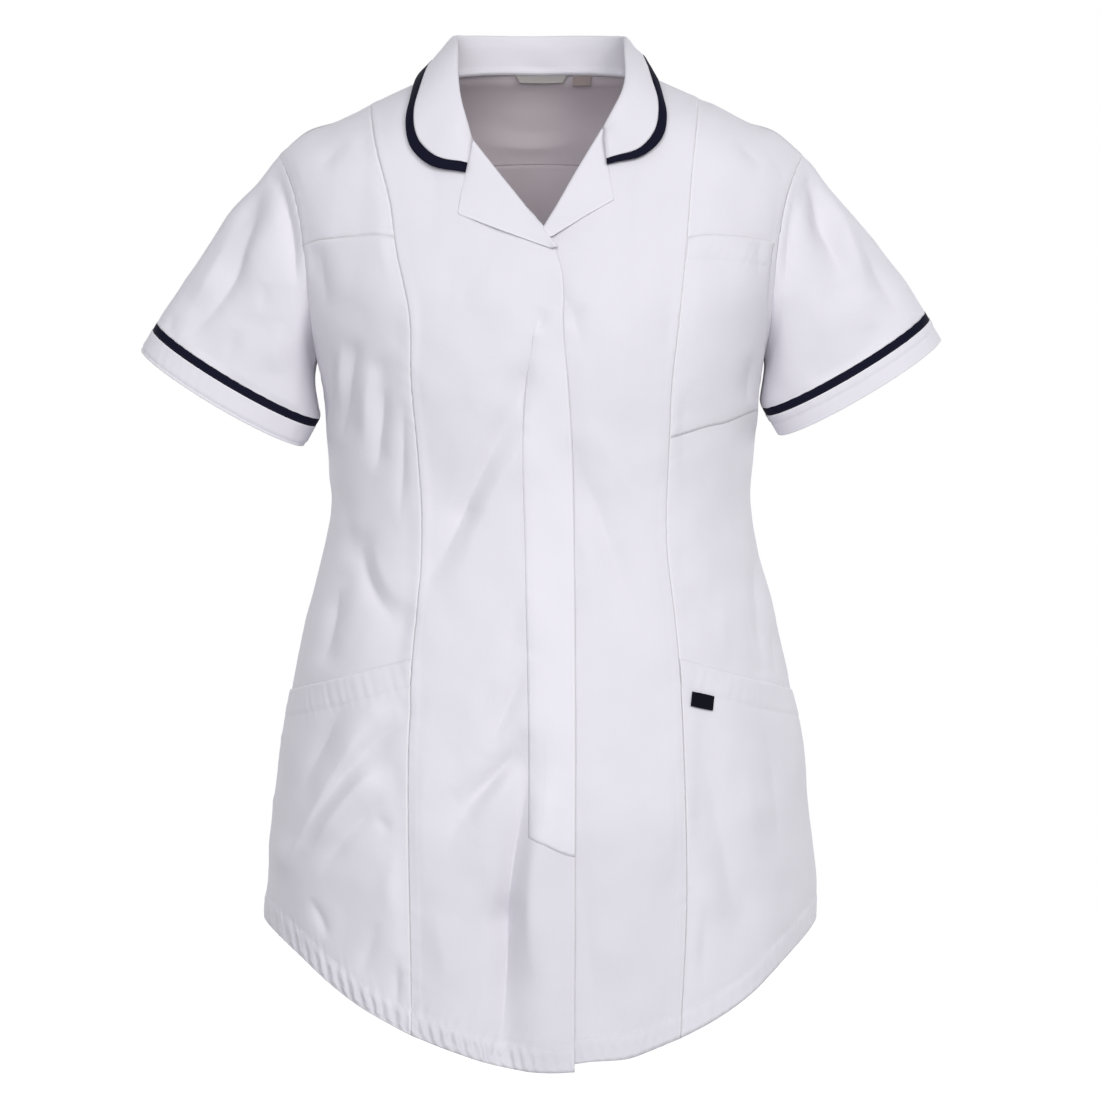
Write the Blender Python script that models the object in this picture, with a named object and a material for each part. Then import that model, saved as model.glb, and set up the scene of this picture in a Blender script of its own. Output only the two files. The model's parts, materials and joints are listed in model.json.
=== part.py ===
"""A short-sleeved maternity tunic in white cloth with navy trim, in its worn, hollow form.

Metres, +Z up. The front faces -Y and the wearer's left is +X. The origin lies midway between
the shoulders, on the level of the middle of the shoulder seams.

The body is one smooth surface, read by a turn round it (0 at the front, +90 at the wearer's
left, 180 at the back) and by a drop below the ridge of the shoulders. Each cut piece is a grid
on that surface, given a wall. Pieces that lie on a panel use the panel's own points, moved out.
"""
import math

import bmesh
import bpy
import numpy as np

WALL = 0.0012            # thickness of the cloth
GAP = 0.0003             # air between pieces that meet
SEAM = GAP / 2           # what each side of a seam gives up
SQUARENESS = 0.83        # power that squares the round sections of the body
SHOULDER_ROUND = 0.055   # drop over which the cloth rounds over the shoulder ridge
HALF_PI = math.pi / 2
ROUNDS = 12              # rounds in which a height that depends on itself settles
STEP = 0.004             # step of turn or drop over which a slope is read
SHARP_ANGLE = 50         # degrees above which an edge is shown sharp

# Sections of the body: height, half width, depth to the front, depth to the back
BODY = (
    (-0.780, 0.2195, 0.170, 0.120),
    (-0.650, 0.2190, 0.167, 0.117),
    (-0.600, 0.2164, 0.165, 0.115),
    (-0.560, 0.2128, 0.163, 0.112),
    (-0.520, 0.2086, 0.159, 0.108),
    (-0.480, 0.2014, 0.154, 0.105),
    (-0.440, 0.1936, 0.147, 0.101),
    (-0.400, 0.1836, 0.139, 0.098),
    (-0.360, 0.1730, 0.132, 0.098),
    (-0.320, 0.1675, 0.128, 0.099),
    (-0.280, 0.1704, 0.130, 0.103),
    (-0.240, 0.1738, 0.134, 0.110),
    (-0.205, 0.1790, 0.135, 0.114),
    (-0.160, 0.1920, 0.130, 0.115),
    (-0.120, 0.2020, 0.116, 0.112),
    (-0.080, 0.2090, 0.098, 0.107),
    (-0.040, 0.2140, 0.081, 0.100),
    (0.000, 0.2170, 0.071, 0.092),
    (0.050, 0.2180, 0.063, 0.081),
)

# Shoulder ridge: distance from the middle, height
RIDGE = (
    (-0.030, 0.0405), (0.000, 0.0440), (0.030, 0.0405), (0.060, 0.0302), (0.075, 0.0235),
    (0.1216, 0.0024), (0.1644, -0.0182), (0.1876, -0.0262), (0.2085, -0.0445), (0.220, -0.056),
)

# Seams and edges on the front, each a height and the distance from the middle
PRINCESS_RIGHT = (
    (-0.735, 0.0990), (-0.441, 0.0988), (-0.379, 0.0937), (-0.336, 0.0923), (-0.286, 0.0954),
    (-0.225, 0.1007), (-0.182, 0.1014), (-0.122, 0.1133), (-0.091, 0.1175), (-0.039, 0.1305),
    (-0.0035, 0.1360),
)
PRINCESS_LEFT = (
    (-0.737, 0.1070), (-0.637, 0.1120), (-0.540, 0.1110), (-0.447, 0.1070), (-0.410, 0.1035),
    (-0.360, 0.0980), (-0.272, 0.1000), (-0.235, 0.1015), (-0.181, 0.1075), (-0.118, 0.1140),
    (-0.060, 0.1190), (0.001, 0.1260),
)
FRONT_EDGE = (
    (-0.761, 0.0261), (-0.368, 0.0262), (-0.286, 0.0248), (-0.235, 0.0217), (-0.188, 0.0178),
    (-0.144, 0.0163), (-0.126, 0.0117),
)
STITCH_LINE = (
    (-0.761, -0.0100), (-0.475, -0.0100), (-0.368, -0.0124), (-0.244, -0.0130),
    (-0.178, -0.0050), (-0.106, -0.0040),
)
ARMHOLE = (
    (-0.205, 0.1778), (-0.190, 0.1805), (-0.160, 0.1832), (-0.125, 0.1862), (-0.100, 0.1900),
    (-0.078, 0.1950), (-0.060, 0.2015), (-0.0445, 0.2085),
)

# Hems: distance from the middle, height
FRONT_HEM = (
    (-0.040, -0.7565), (0.0, -0.7610), (0.040, -0.7565), (0.075, -0.7450), (0.117, -0.7280),
    (0.147, -0.7110), (0.168, -0.6950), (0.189, -0.6774), (0.2190, -0.6500),
)
BACK_HEM = (
    (-0.040, -0.7360), (0.0, -0.7400), (0.040, -0.7360), (0.075, -0.7270), (0.117, -0.7130),
    (0.147, -0.7000), (0.168, -0.6870), (0.189, -0.6730), (0.2190, -0.6500),
)
HEM_MIDDLE = 0.009       # the front hem is lowest a little to the wearer's left
UNDERLAP_RISE = 0.006    # how much shorter the under front is at the hem

# Levels across the fronts: name, rows of cloth above it, height at the front edge, the
# princess seams and the side
LEVELS = (
    ("hem", 12, -0.7610, -0.7350, -0.6520),
    ("hip pocket mouth", 7, -0.4300, -0.4440, -0.4720),
    ("chest pocket foot", 2, -0.2650, -0.2730, -0.2480),
    ("underarm", 4, -0.2150, -0.2220, -0.2050),
    ("chest pocket mouth", 5, -0.1650, -0.1160, -0.1200),
)
EDGE_COLUMN, PRINCESS_COLUMN, SIDE_COLUMN = 2, 3, 4

# Levels across the back, the same rows: height at the middle and at the side
BACK_LEVELS = (
    ("hem", 12, -0.7400, -0.6520),
    ("hip", 7, -0.4400, -0.4720),
    ("chest", 2, -0.2600, -0.2480),
    ("underarm", 6, -0.2100, -0.2050),
    ("yoke seam", 4, -0.0440, -0.0850),
)

# Neck opening of the fronts on one side: distance from the middle and height
NECK_MIDDLE = -0.0024    # the opening sits a little to the wearer's right
NECK_TILT = 0.10         # and is higher on the wearer's left
GORGE = (0.0525, -0.0345)
NECK_SIDE = (0.0700, -0.0020)
NECK_POINT = (0.0750, 0.0235)
SHOULDER_TIP = 0.2085
YOKE_DIP = 2.2           # power with which the yoke seam falls toward the armholes
RIGHT_BREAK = (0.0117, -0.1264)     # where the right front's fold meets its free edge
LEFT_BREAK = (-0.0060, -0.1257)     # the same on the under front, hidden by the right

BACK_NECK = (
    (-0.030, 0.0268), (0.0, 0.0270), (0.030, 0.0268), (0.045, 0.0258), (0.060, 0.0238),
    (0.070, 0.0225), (0.075, 0.0235),
)
SHOULDER_COLUMNS = (0.2085, 0.1880, 0.1640, 0.1360, 0.1050, 0.0750)
NECK_COLUMNS = (0.0750, 0.0690, 0.0580, 0.0420, 0.0220, 0.0)

SHOULDER_CELLS, NECK_CELLS, ROLL_CELLS, LAP_CELLS = 3, 4, 4, 2
SIDE_CELLS = 6
CENTRE_CELLS = SHOULDER_CELLS + NECK_CELLS + ROLL_CELLS
LAP_DROP = 0.0018        # how far the under front lies inside the upper one
LAP_DROP_TOP = 0.0030    # the same near the neck, where the two edges cross
LAP_LEAD = 0.35          # share of that drop one column before the overlap

# Folds of the front: start and end as (x, z), height of the fold (a trough is minus), half width
FRONT_FOLDS = (
    ((-0.014, -0.232), (-0.060, -0.330), -0.0030, 0.012),
    ((-0.060, -0.330), (-0.086, -0.378), -0.0024, 0.012),
    ((0.026, -0.290), (0.070, -0.410), -0.0016, 0.013),
    ((-0.012, -0.440), (-0.044, -0.515), -0.0030, 0.013),
    ((-0.014, -0.510), (-0.060, -0.552), -0.0024, 0.012),
    ((-0.012, -0.530), (-0.027, -0.640), -0.0050, 0.012),
    ((-0.027, -0.640), (-0.029, -0.748), -0.0062, 0.013),
    ((0.004, -0.560), (0.002, -0.735), 0.0040, 0.016),
    ((-0.130, -0.490), (-0.198, -0.600), 0.0042, 0.014),
    ((-0.108, -0.485), (-0.186, -0.585), -0.0036, 0.012),
    ((-0.134, -0.540), (-0.178, -0.592), 0.0028, 0.010),
    ((-0.142, -0.355), (-0.110, -0.412), -0.0030, 0.012),
    ((-0.156, -0.385), (-0.168, -0.440), -0.0024, 0.010),
    ((-0.150, -0.205), (-0.148, -0.262), -0.0022, 0.009),
    ((-0.126, -0.220), (-0.126, -0.285), -0.0022, 0.009),
    ((0.170, -0.355), (0.174, -0.450), -0.0024, 0.009),
    ((0.120, -0.480), (0.150, -0.640), -0.0016, 0.014),
)
BACK_FOLDS = (
    ((-0.120, -0.300), (-0.030, -0.350), -0.0030, 0.014),
    ((0.125, -0.290), (0.035, -0.345), -0.0032, 0.014),
    ((-0.070, -0.520), (-0.085, -0.690), -0.0042, 0.018),
    ((0.060, -0.500), (0.078, -0.700), -0.0046, 0.018),
    ((-0.005, -0.480), (0.006, -0.720), 0.0036, 0.022),
    ((-0.150, -0.130), (-0.120, -0.240), -0.0028, 0.014),
    ((0.150, -0.125), (0.122, -0.250), -0.0026, 0.014),
)
FOLD_FADE = 0.35         # share of a quarter turn over which folds fade into the side seams

# Sleeves: cuff ring on the wearer's right, from its underarm corner to its outer corner
CUFF_INNER = (0.1904, -0.2760)
CUFF_OUTER = (0.3190, -0.1995)
CUFF_LIFT = 0.0085       # the wearer's left cuff is this much higher
CUFF_HALF_DEPTH = 0.042
CUFF_BOW = 0.0090        # how much lower the front of the cuff hangs than its corners
BAND_WIDTH = 0.0185
TRIM_WIDTH = 0.0068
SLEEVE_ROWS = 8
BAND_ROWS = 2
TIP_HEADING = (0.66, -0.75)
UNDERARM_HEADING = (0.40, -0.92)
UNDERARM_EASE = 0.35     # how softly the underarm of a sleeve turns into the cuff
MITRE_MOST = 2.0         # longest mitre of two walls that meet, in walls
SEAM_MOST = 3.3          # most that a seam's air is lengthened where the walls slant

# Folds of the sleeves, as those of the front
SLEEVE_FOLDS_RIGHT = (
    ((-0.236, -0.084), (-0.282, -0.180), -0.0048, 0.016),
    ((-0.262, -0.150), (-0.262, -0.205), 0.0030, 0.016),
)
SLEEVE_FOLDS_LEFT = (
    ((0.214, -0.060), (0.240, -0.150), -0.0048, 0.016),
    ((0.252, -0.110), (0.262, -0.190), 0.0030, 0.016),
)
SLEEVE_FOLD_FADE = 0.020     # depth over which the sleeves' folds fade toward their edges

# Collar, half of it from the gorge to the middle of the back: share of the way along the neck
# seam, rise of the crest from the seam as (outward, y, z), edge as (x, z), and which side of
# the ridge the edge is on
COLLAR = (
    (0.00, (0.0000, -0.0045, 0.0010), (0.0570, -0.0625), "front"),
    (0.10, (-0.0035, -0.0065, 0.0035), (0.0830, -0.0560), "front"),
    (0.18, (-0.0055, -0.0060, 0.0063), (0.0975, -0.0420), "front"),
    (0.26, (-0.0070, -0.0060, 0.0090), (0.1010, -0.0240), "front"),
    (0.34, (-0.0083, -0.0058, 0.0120), (0.0975, -0.0060), "front"),
    (0.42, (-0.0090, -0.0050, 0.0170), (0.0935, 0.0090), "front"),
    (0.51, (-0.0085, -0.0020, 0.0235), (0.0885, 0.0150), "ridge"),
    (0.64, (-0.0030, 0.0040, 0.0295), (0.0870, 0.0040), "back"),
    (0.80, (-0.0010, 0.0040, 0.0285), (0.0620, -0.0060), "back"),
    (1.00, (0.0000, 0.0030, 0.0285), (0.0000, -0.0120), "back"),
)
COLLAR_MIDDLE = -0.0036  # the collar's edge sits this far to the wearer's right
COLLAR_TILT = (0.42, 0.06)   # share of the neck seam where the edge stops tilting, and its slope
COLLAR_SPLIT = 2         # collar stations for each cell of the neck seam
COLLAR_TRIM = 0.0072     # width of the navy edge
FALL_CLEARANCE = 0.0026  # the collar's air above the body
FALL_ROUND = 0.09        # how full the collar's fall is where it turns over, for its length
FALL_LIFT = 0.005        # how much it arches before it lands
FALL_START = 0.25        # share of the fall's width that leads its turn over
FALL_LANDING = 0.35      # share of it that leads its landing
TRIM_MOST = 0.6          # share of the fall's last cell that its trim may take
RIM_WALLS = 1.5          # how many walls above the neck seam the collar leaves it
STAND_CELLS, FALL_CELLS = 3, 5
GORGE_AIR = 0.0006       # what the collar and the lapel each give up where they meet
COLLAR_AIR = 0.0005      # air between the neck seam and the foot of the collar

# Lapel on the wearer's right: its outer edge from the gorge round the corner to the fold
LAPEL_RIGHT = ((-0.0593, -0.0670), (-0.0645, -0.0994), (-0.0300, -0.1060), (0.0080, -0.1262))
LAPEL_LEFT = ((0.0515, -0.0586), (0.0568, -0.0880), (0.0330, -0.1020), (0.0100, -0.1165))
LAPEL_LEFT_CELLS = 5     # cells of the left fold above its crossing with the right one
LAPEL_CELLS = 5
LAPEL_PUFF = 0.0022      # how far a lapel stands off the front near its fold
LAPEL_AIR = 0.0006       # how far it stays off elsewhere
LAPEL_START = 0.04       # share of its width where it first lies on the front
LAPEL_RISE = 8.0         # how fast it reaches its full puff beyond the fold
LAPEL_RIM = 0.6          # lean of its wall where it rises from the fold

POCKET_WALL = 0.0010
POCKET_INSET = 0.0012
CHEST_POCKET_INSET = (0.0120, 0.0030)          # from the side, at its foot and its mouth
EDGE_AIR = 0.0004        # more air under an edge that lies across a panel's cells
MOUTH_GAPE = 0.0016      # how far a hip pocket's mouth stands off the panel
PLACKET_WALL = 0.0010
PLACKET_FOOT_ROW = 6
PLACKET_HEAD_ROWS = 25
PLACKET_FOOT = (0.55, 0.25)      # how far its foot rises at the first and second column, in rows
TAB = (0.125, -0.478, 0.0192, 0.0115, 12.0)    # middle x, z, length, height, tilt in degrees
TAB_WALL = 0.0010
TAB_AIR = 0.0006         # more air under the tab, which is flat on a rounded pocket
NECK_LABEL = (9.0, 11.0, 0.45)                 # from and to yoke column, height in yoke rows
SIZE_LABEL = (11.2, 11.95, 0.65)
LABEL_WALL = 0.0010
LABEL_START = 0.04       # rows of the yoke between the neck seam and a label
LABEL_AIR = 0.0012       # air behind a label's lower edge

WHITE = ("white cloth", (0.80, 0.79, 0.83, 1.0), 0.85)
NAVY = ("navy trim", (0.020, 0.022, 0.050, 1.0), 0.75)
CREAM = ("cream label", (0.60, 0.57, 0.55, 1.0), 0.70)
BEIGE = ("beige label", (0.48, 0.40, 0.40, 1.0), 0.70)
TAB_BLUE = ("navy tab", (0.010, 0.012, 0.022, 1.0), 0.60)


def smooth(at, rows):
    """The smooth curve through (place, value) rows, read at one place or many."""
    place, value = np.array(rows, dtype=float).T
    slope = np.gradient(value, place)
    at = np.clip(at, place[0], place[-1])
    cell = np.clip(np.searchsorted(place, at, side="right") - 1, 0, len(place) - 2)
    span = place[cell + 1] - place[cell]
    t = (at - place[cell]) / span
    start = (1 + 2 * t) * (1 - t) ** 2 * value[cell] + t * (1 - t) ** 2 * span * slope[cell]
    end = t * t * (3 - 2 * t) * value[cell + 1] + t * t * (t - 1) * span * slope[cell + 1]
    return start + end


def column(rows, number):
    """Two columns of a table: its first one and the numbered one."""
    return [(row[0], row[number]) for row in rows]


def unit(vectors):
    """Vectors scaled to a length of one."""
    return vectors / np.maximum(np.linalg.norm(vectors, axis=-1, keepdims=True), 1e-12)


def half_width(z):
    """Half the width of the body's inner face at a height."""
    return smooth(z, column(BODY, 1)) - WALL


def tip_height():
    """Height of the shoulder tip, where the shoulder seam meets the sleeve."""
    return float(smooth(SHOULDER_TIP, RIDGE))


def fall_of(drop):
    """Height lost below the ridge for a drop, a quarter round and then straight down."""
    bent = SHOULDER_ROUND * (1 - np.cos(HALF_PI * np.clip(drop, 0, 1)))
    return bent + SHOULDER_ROUND * HALF_PI * np.maximum(drop - 1, 0)


def drop_of(x, z):
    """The drop of a point, from how far it lies below the ridge."""
    fall = np.maximum(smooth(np.abs(x), RIDGE) - z, 0)
    bent = np.arccos(np.clip(1 - fall / SHOULDER_ROUND, -1, 1)) / HALF_PI
    return np.where(fall < SHOULDER_ROUND, bent, 1 + (fall / SHOULDER_ROUND - 1) / HALF_PI)


def turn_of(x, z, back=False):
    """The turn of a point on the front or the back, in radians."""
    share = np.clip(np.abs(x) / half_width(z), 0, 1) ** (1 / SQUARENESS)
    turn = np.sign(x) * np.arcsin(share)
    if back:
        turn = np.where(turn >= 0, math.pi, -math.pi) - turn
    return turn


def place_of(x, z, back=False):
    """Turn and drop of a point."""
    return np.stack([turn_of(x, z, back), drop_of(x, z)], axis=-1)


def plain_body(places):
    """Points on the body's smooth surface, before its folds."""
    turn, drop = places[..., 0], places[..., 1]
    reach = np.sign(np.sin(turn)) * np.abs(np.sin(turn)) ** SQUARENESS
    fall = fall_of(drop)
    z = -fall
    for _ in range(ROUNDS):
        x = reach * half_width(z)
        z = smooth(np.abs(x), RIDGE) - fall
    front = -smooth(z, column(BODY, 2))
    back = smooth(z, column(BODY, 3))
    ahead = np.cos(turn)
    depth = np.where(ahead > 0, front, back) * np.abs(ahead) ** SQUARENESS
    y = depth * np.sin(HALF_PI * np.clip(drop, 0, 1))
    return np.stack([x, y, z], axis=-1)


def body_out(places):
    """Directions straight out of the body's smooth surface."""
    across = np.array([STEP, 0.0])
    down = np.array([0.0, STEP])
    along_turn = plain_body(places + across) - plain_body(places - across)
    lower = plain_body(places + down)
    upper = plain_body(np.maximum(places - down, [-10.0, 0.0]))
    return unit(np.cross(lower - upper, along_turn))


def fold_height(points, folds):
    """Height of a set of folds at points, each fading at its ends and to its sides."""
    total = np.zeros(points.shape[:-1])
    flat = points[..., [0, 2]]
    for start, end, height, half in folds:
        run = np.subtract(end, start)
        length = np.linalg.norm(run)
        away = flat - np.array(start)
        along = away @ run / length
        aside = away @ np.array([-run[1], run[0]]) / length
        past = np.maximum(np.maximum(-along, along - length), 0)
        total += height * np.exp(-(aside ** 2 + past ** 2) / half ** 2)
    return total


def body(places):
    """Points of the cloth's inner face, with its folds, and the directions out of it."""
    points = plain_body(places)
    out = body_out(places)
    ahead = np.cos(places[..., 0])
    front = np.clip(ahead / FOLD_FADE, 0, 1) * fold_height(points, FRONT_FOLDS)
    back = np.clip(-ahead / FOLD_FADE, 0, 1) * fold_height(points, BACK_FOLDS)
    return points + out * (front + back)[..., None], out


def spread(start, end, cells):
    """Even steps from one place to another, both ends included."""
    t = np.linspace(0, 1, cells + 1)[:, None]
    return np.array(start) * (1 - t) + np.array(end) * t


def chain(*stretches):
    """Stretches that share their end points, as one line."""
    return np.concatenate([stretches[0]] + [stretch[1:] for stretch in stretches[1:]])


def patch(low, high, left, right):
    """A grid of places between four border lines of places (a Coons patch)."""
    u = np.linspace(0, 1, len(low))[None, :, None]
    v = np.linspace(0, 1, len(left))[:, None, None]
    across = (1 - u) * left[:, None] + u * right[:, None]
    upward = (1 - v) * low[None] + v * high[None]
    corners = (1 - u) * (1 - v) * low[0] + u * (1 - v) * low[-1]
    corners = corners + (1 - u) * v * high[0] + u * v * high[-1]
    return across + upward - corners


def level_heights(levels, number, top):
    """Heights of all the rows on one border line, from the hem to a top height."""
    marks = [level[number] for level in levels] + [top]
    pieces = [spread(marks[i], marks[i + 1], levels[i][1]) for i in range(len(levels))]
    return chain(*pieces)[:, 0]


def rows_below(name, levels=LEVELS):
    """How many rows of cloth lie under a named level."""
    names = [level[0] for level in levels]
    return sum(level[1] for level in levels[:names.index(name)])


def border(levels, number, side, line, top, back=False):
    """A seam or edge as places: heights from the levels, distance from the middle from a line."""
    z = level_heights(levels, number, top)
    places = place_of(side * smooth(z, line), z, back)
    start = rows_below(levels[-1][0], levels)
    drops = np.linspace(places[start, 1], places[-1, 1], len(z) - start)
    for row in range(start, len(z)):
        height = z[row]
        for _ in range(ROUNDS):
            x = smooth(height, line)
            height = smooth(np.abs(x), RIDGE) - fall_of(drops[row - start])
        places[row] = place_of(side * smooth(height, line), height, back)
    return places


def side_border(side, back=False):
    """The side seam and, above the underarm, the armhole."""
    levels = BACK_LEVELS if back else LEVELS
    number = 3 if back else SIDE_COLUMN
    top = tip_height() if not back else levels[-1][3]
    z = level_heights(levels if not back else levels[:-1], number, top)
    underarm = rows_below("underarm", levels)
    places = place_of(side * smooth(z, ARMHOLE), z, back)
    places[:underarm + 1, 0] = side * HALF_PI
    places[:underarm + 1, 1] = drop_of(half_width(z[:underarm + 1]), z[:underarm + 1])
    return places


def hem_line(start_turn, end_turn, cells, hem):
    """The hem between two turns, as places."""
    return hem_places(np.linspace(start_turn, end_turn, cells + 1), hem)


def hem_height(x, hem):
    """Height of a hem, the front one off centre."""
    middle = HEM_MIDDLE if hem is FRONT_HEM else 0.0
    return smooth(np.abs(x - middle * (1 - (x / hem[-1][0]) ** 2)), hem)


def hem_places(turn, hem):
    """Places on the hem at some turns."""
    reach = np.sign(np.sin(turn)) * np.abs(np.sin(turn)) ** SQUARENESS
    z = np.full(turn.shape, BODY[1][0])
    for _ in range(ROUNDS):
        z = hem_height(reach * half_width(z), hem)
    return np.stack([turn, drop_of(reach * half_width(z), z)], axis=-1)


def along_ridge(start, end, cells, back=False):
    """Places on the ridge of the shoulder between two distances from the middle."""
    x = np.linspace(start, end, cells + 1)
    return ridge_places(x, back)


def ridge_places(x, back=False):
    """Places on the shoulder ridge at distances from the middle."""
    places = place_of(x, smooth(np.abs(x), RIDGE), back)
    places[:, 1] = 0.0
    return places


def neck_place(side, point):
    """A point of the neck opening on one side, moved off centre and tilted like the neck."""
    x = side * point[0]
    tilt = np.clip(-point[1] / abs(GORGE[1]), 0, 1)
    return np.array([x + NECK_MIDDLE * tilt, point[1] + NECK_TILT * x * tilt])


def front_top(side, break_point, cells_to_edge):
    """The top of a centre front, from the princess seam over the shoulder and down the fold."""
    line = PRINCESS_RIGHT if side < 0 else PRINCESS_LEFT
    shoulder = along_ridge(side * line[-1][1], side * NECK_POINT[0], SHOULDER_CELLS)
    gorge = neck_place(side, GORGE)
    heights = ((0.0, NECK_POINT), (0.5, NECK_SIDE), (1.0, (abs(gorge[0]), gorge[1])))
    share = np.linspace(0, 1, NECK_CELLS + 1)
    neck_x = side * smooth(share, [(row[0], row[1][0]) for row in heights])
    neck_z = smooth(share, [(row[0], row[1][1]) for row in heights])
    neck = place_of(neck_x, neck_z)
    neck[0] = shoulder[-1]
    fold = spread(gorge, break_point, ROLL_CELLS + cells_to_edge)
    return shoulder, neck, place_of(fold[:, 0], fold[:, 1])


def centre_front(side):
    """Places of a centre front and how far each point lies inside the body's surface."""
    line = PRINCESS_RIGHT if side < 0 else PRINCESS_LEFT
    break_point = RIGHT_BREAK if side < 0 else LEFT_BREAK
    shoulder, neck, fold = front_top(side, break_point, LAP_CELLS)
    inner_z = plain_body(fold[ROLL_CELLS])[2]
    last_z = plain_body(fold[-1])[2]
    seam = border(LEVELS, PRINCESS_COLUMN, side, line, line[-1][0])
    seam[-1] = shoulder[0]
    near, far = (STITCH_LINE, FRONT_EDGE) if side < 0 else (FRONT_EDGE, STITCH_LINE)
    near_line = border(LEVELS, EDGE_COLUMN, 1, near, inner_z)
    far_line = border(LEVELS, EDGE_COLUMN, 1, far, last_z)
    near_line[-1] = fold[ROLL_CELLS]
    far_line[-1] = fold[-1]
    seam[0] = hem_places(seam[:1, 0], FRONT_HEM)[0]
    for border_line in (near_line, far_line):
        border_line[0] = hem_places(border_line[:1, 0], FRONT_HEM)[0]
    top = chain(shoulder, neck, fold[:ROLL_CELLS + 1])
    low = hem_line(seam[0, 0], near_line[0, 0], CENTRE_CELLS, FRONT_HEM)
    main = patch(low, top, seam, near_line)
    lap_low = hem_line(near_line[0, 0], far_line[0, 0], LAP_CELLS, FRONT_HEM)
    lap = patch(lap_low, fold[ROLL_CELLS:], near_line, far_line)
    places = np.concatenate([main, lap[:, 1:]], axis=1)
    inside = np.zeros(places.shape[:2])
    if side > 0:
        rows = np.linspace(0, 1, places.shape[0])
        start = rows[rows_below("chest pocket mouth")]
        amount = LAP_DROP + (LAP_DROP_TOP - LAP_DROP) * np.clip((rows - start) / (1 - start), 0, 1)
        inside[:, CENTRE_CELLS:] = amount[:, None]
        inside[:, CENTRE_CELLS - 1] = amount * LAP_LEAD
        places[0, CENTRE_CELLS - 1:, 1] -= UNDERLAP_RISE / (SHOULDER_ROUND * HALF_PI)
    return places, inside


def side_front(side):
    """Places of a side front, from the princess seam to the side seam and armhole."""
    line = PRINCESS_RIGHT if side < 0 else PRINCESS_LEFT
    seam = border(LEVELS, PRINCESS_COLUMN, side, line, line[-1][0])
    top = along_ridge(side * line[-1][1], side * SHOULDER_TIP, SIDE_CELLS)
    seam[-1] = top[0]
    seam[0] = hem_places(seam[:1, 0], FRONT_HEM)[0]
    outer = side_border(side)
    outer[-1] = top[-1]
    low = hem_line(seam[0, 0], side * HALF_PI, SIDE_CELLS, FRONT_HEM)
    outer[0] = low[-1]
    return patch(low, top, seam, outer)


def back_columns():
    """Distances from the middle of the columns along the shoulders and the back neck."""
    right = [-x for x in SHOULDER_COLUMNS] + [-x for x in NECK_COLUMNS[1:]]
    return np.array(right + [-x for x in reversed(right[:-1])])


def yoke_seam():
    """The seam across the back, from the wearer's right to the left, as places."""
    x = back_columns()
    outer_x = float(smooth(BACK_LEVELS[-1][3], ARMHOLE))
    x = x / SHOULDER_TIP * outer_x
    share = np.abs(x) / outer_x
    z = BACK_LEVELS[-1][2] + (BACK_LEVELS[-1][3] - BACK_LEVELS[-1][2]) * share ** YOKE_DIP
    return place_of(x, z, back=True)


def unwrapped(places):
    """Places on the back with their turn counted past 180 from the wearer's right."""
    wrapped = places.copy()
    wrapped[..., 0] = np.where(places[..., 0] > 0, places[..., 0] - 2 * math.pi, places[..., 0])
    return wrapped


def back_places():
    """Places of the back panel."""
    high = unwrapped(yoke_seam())
    right = unwrapped(side_border(-1, back=True))
    left = unwrapped(side_border(1, back=True))
    right[-1] = high[0]
    left[-1] = high[-1]
    low = hem_line(-HALF_PI, -3 * HALF_PI, len(high) - 1, BACK_HEM)
    right[0] = low[0]
    left[0] = low[-1]
    return patch(low, high, right, left)


def yoke_places():
    """Places of the back yoke, from its seam up to the shoulders and the neck."""
    low = unwrapped(yoke_seam())
    x = back_columns()
    top = unwrapped(place_of(x, smooth(np.abs(x), BACK_NECK), back=True))
    on_shoulder = np.abs(x) >= NECK_POINT[0] - 1e-6
    top[on_shoulder] = unwrapped(ridge_places(x[on_shoulder], back=True))
    rows = BACK_LEVELS[-1][1]
    sides = []
    for end, side in ((0, -1), (-1, 1)):
        z = np.linspace(BACK_LEVELS[-1][3], tip_height(), rows + 1)
        line = unwrapped(place_of(side * smooth(z, ARMHOLE), z, back=True))
        line[0] = low[end]
        line[-1] = top[end]
        sides.append(line)
    return patch(low, top, sides[0], sides[1])


def pulled(points, top=0.0, bottom=0.0, left=0.0, right=0.0):
    """A grid with its edges drawn in, along the cloth, by an amount for each edge."""
    drawn = points.copy()
    for rows, inner, amount in ((0, 1, bottom), (-1, -2, top)):
        drawn[rows] += unit(points[inner] - points[rows]) * amount
    for cells, inner, amount in ((0, 1, left), (-1, -2, right)):
        drawn[:, cells] += unit(points[:, inner] - points[:, cells]) * amount
    return drawn


def collection(name):
    """The collection of the tunic's pieces."""
    found = bpy.data.collections.new(name)
    bpy.context.scene.collection.children.link(found)
    return found


def material(look):
    """A cloth material of one colour."""
    name, colour, roughness = look
    made = bpy.data.materials.get(name)
    if made is None:
        made = bpy.data.materials.new(name)
        made.use_nodes = True
        shader = made.node_tree.nodes["Principled BSDF"]
        shader.inputs["Base Color"].default_value = colour
        shader.inputs["Roughness"].default_value = roughness
        shader.inputs["Metallic"].default_value = 0.0
    return made


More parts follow.
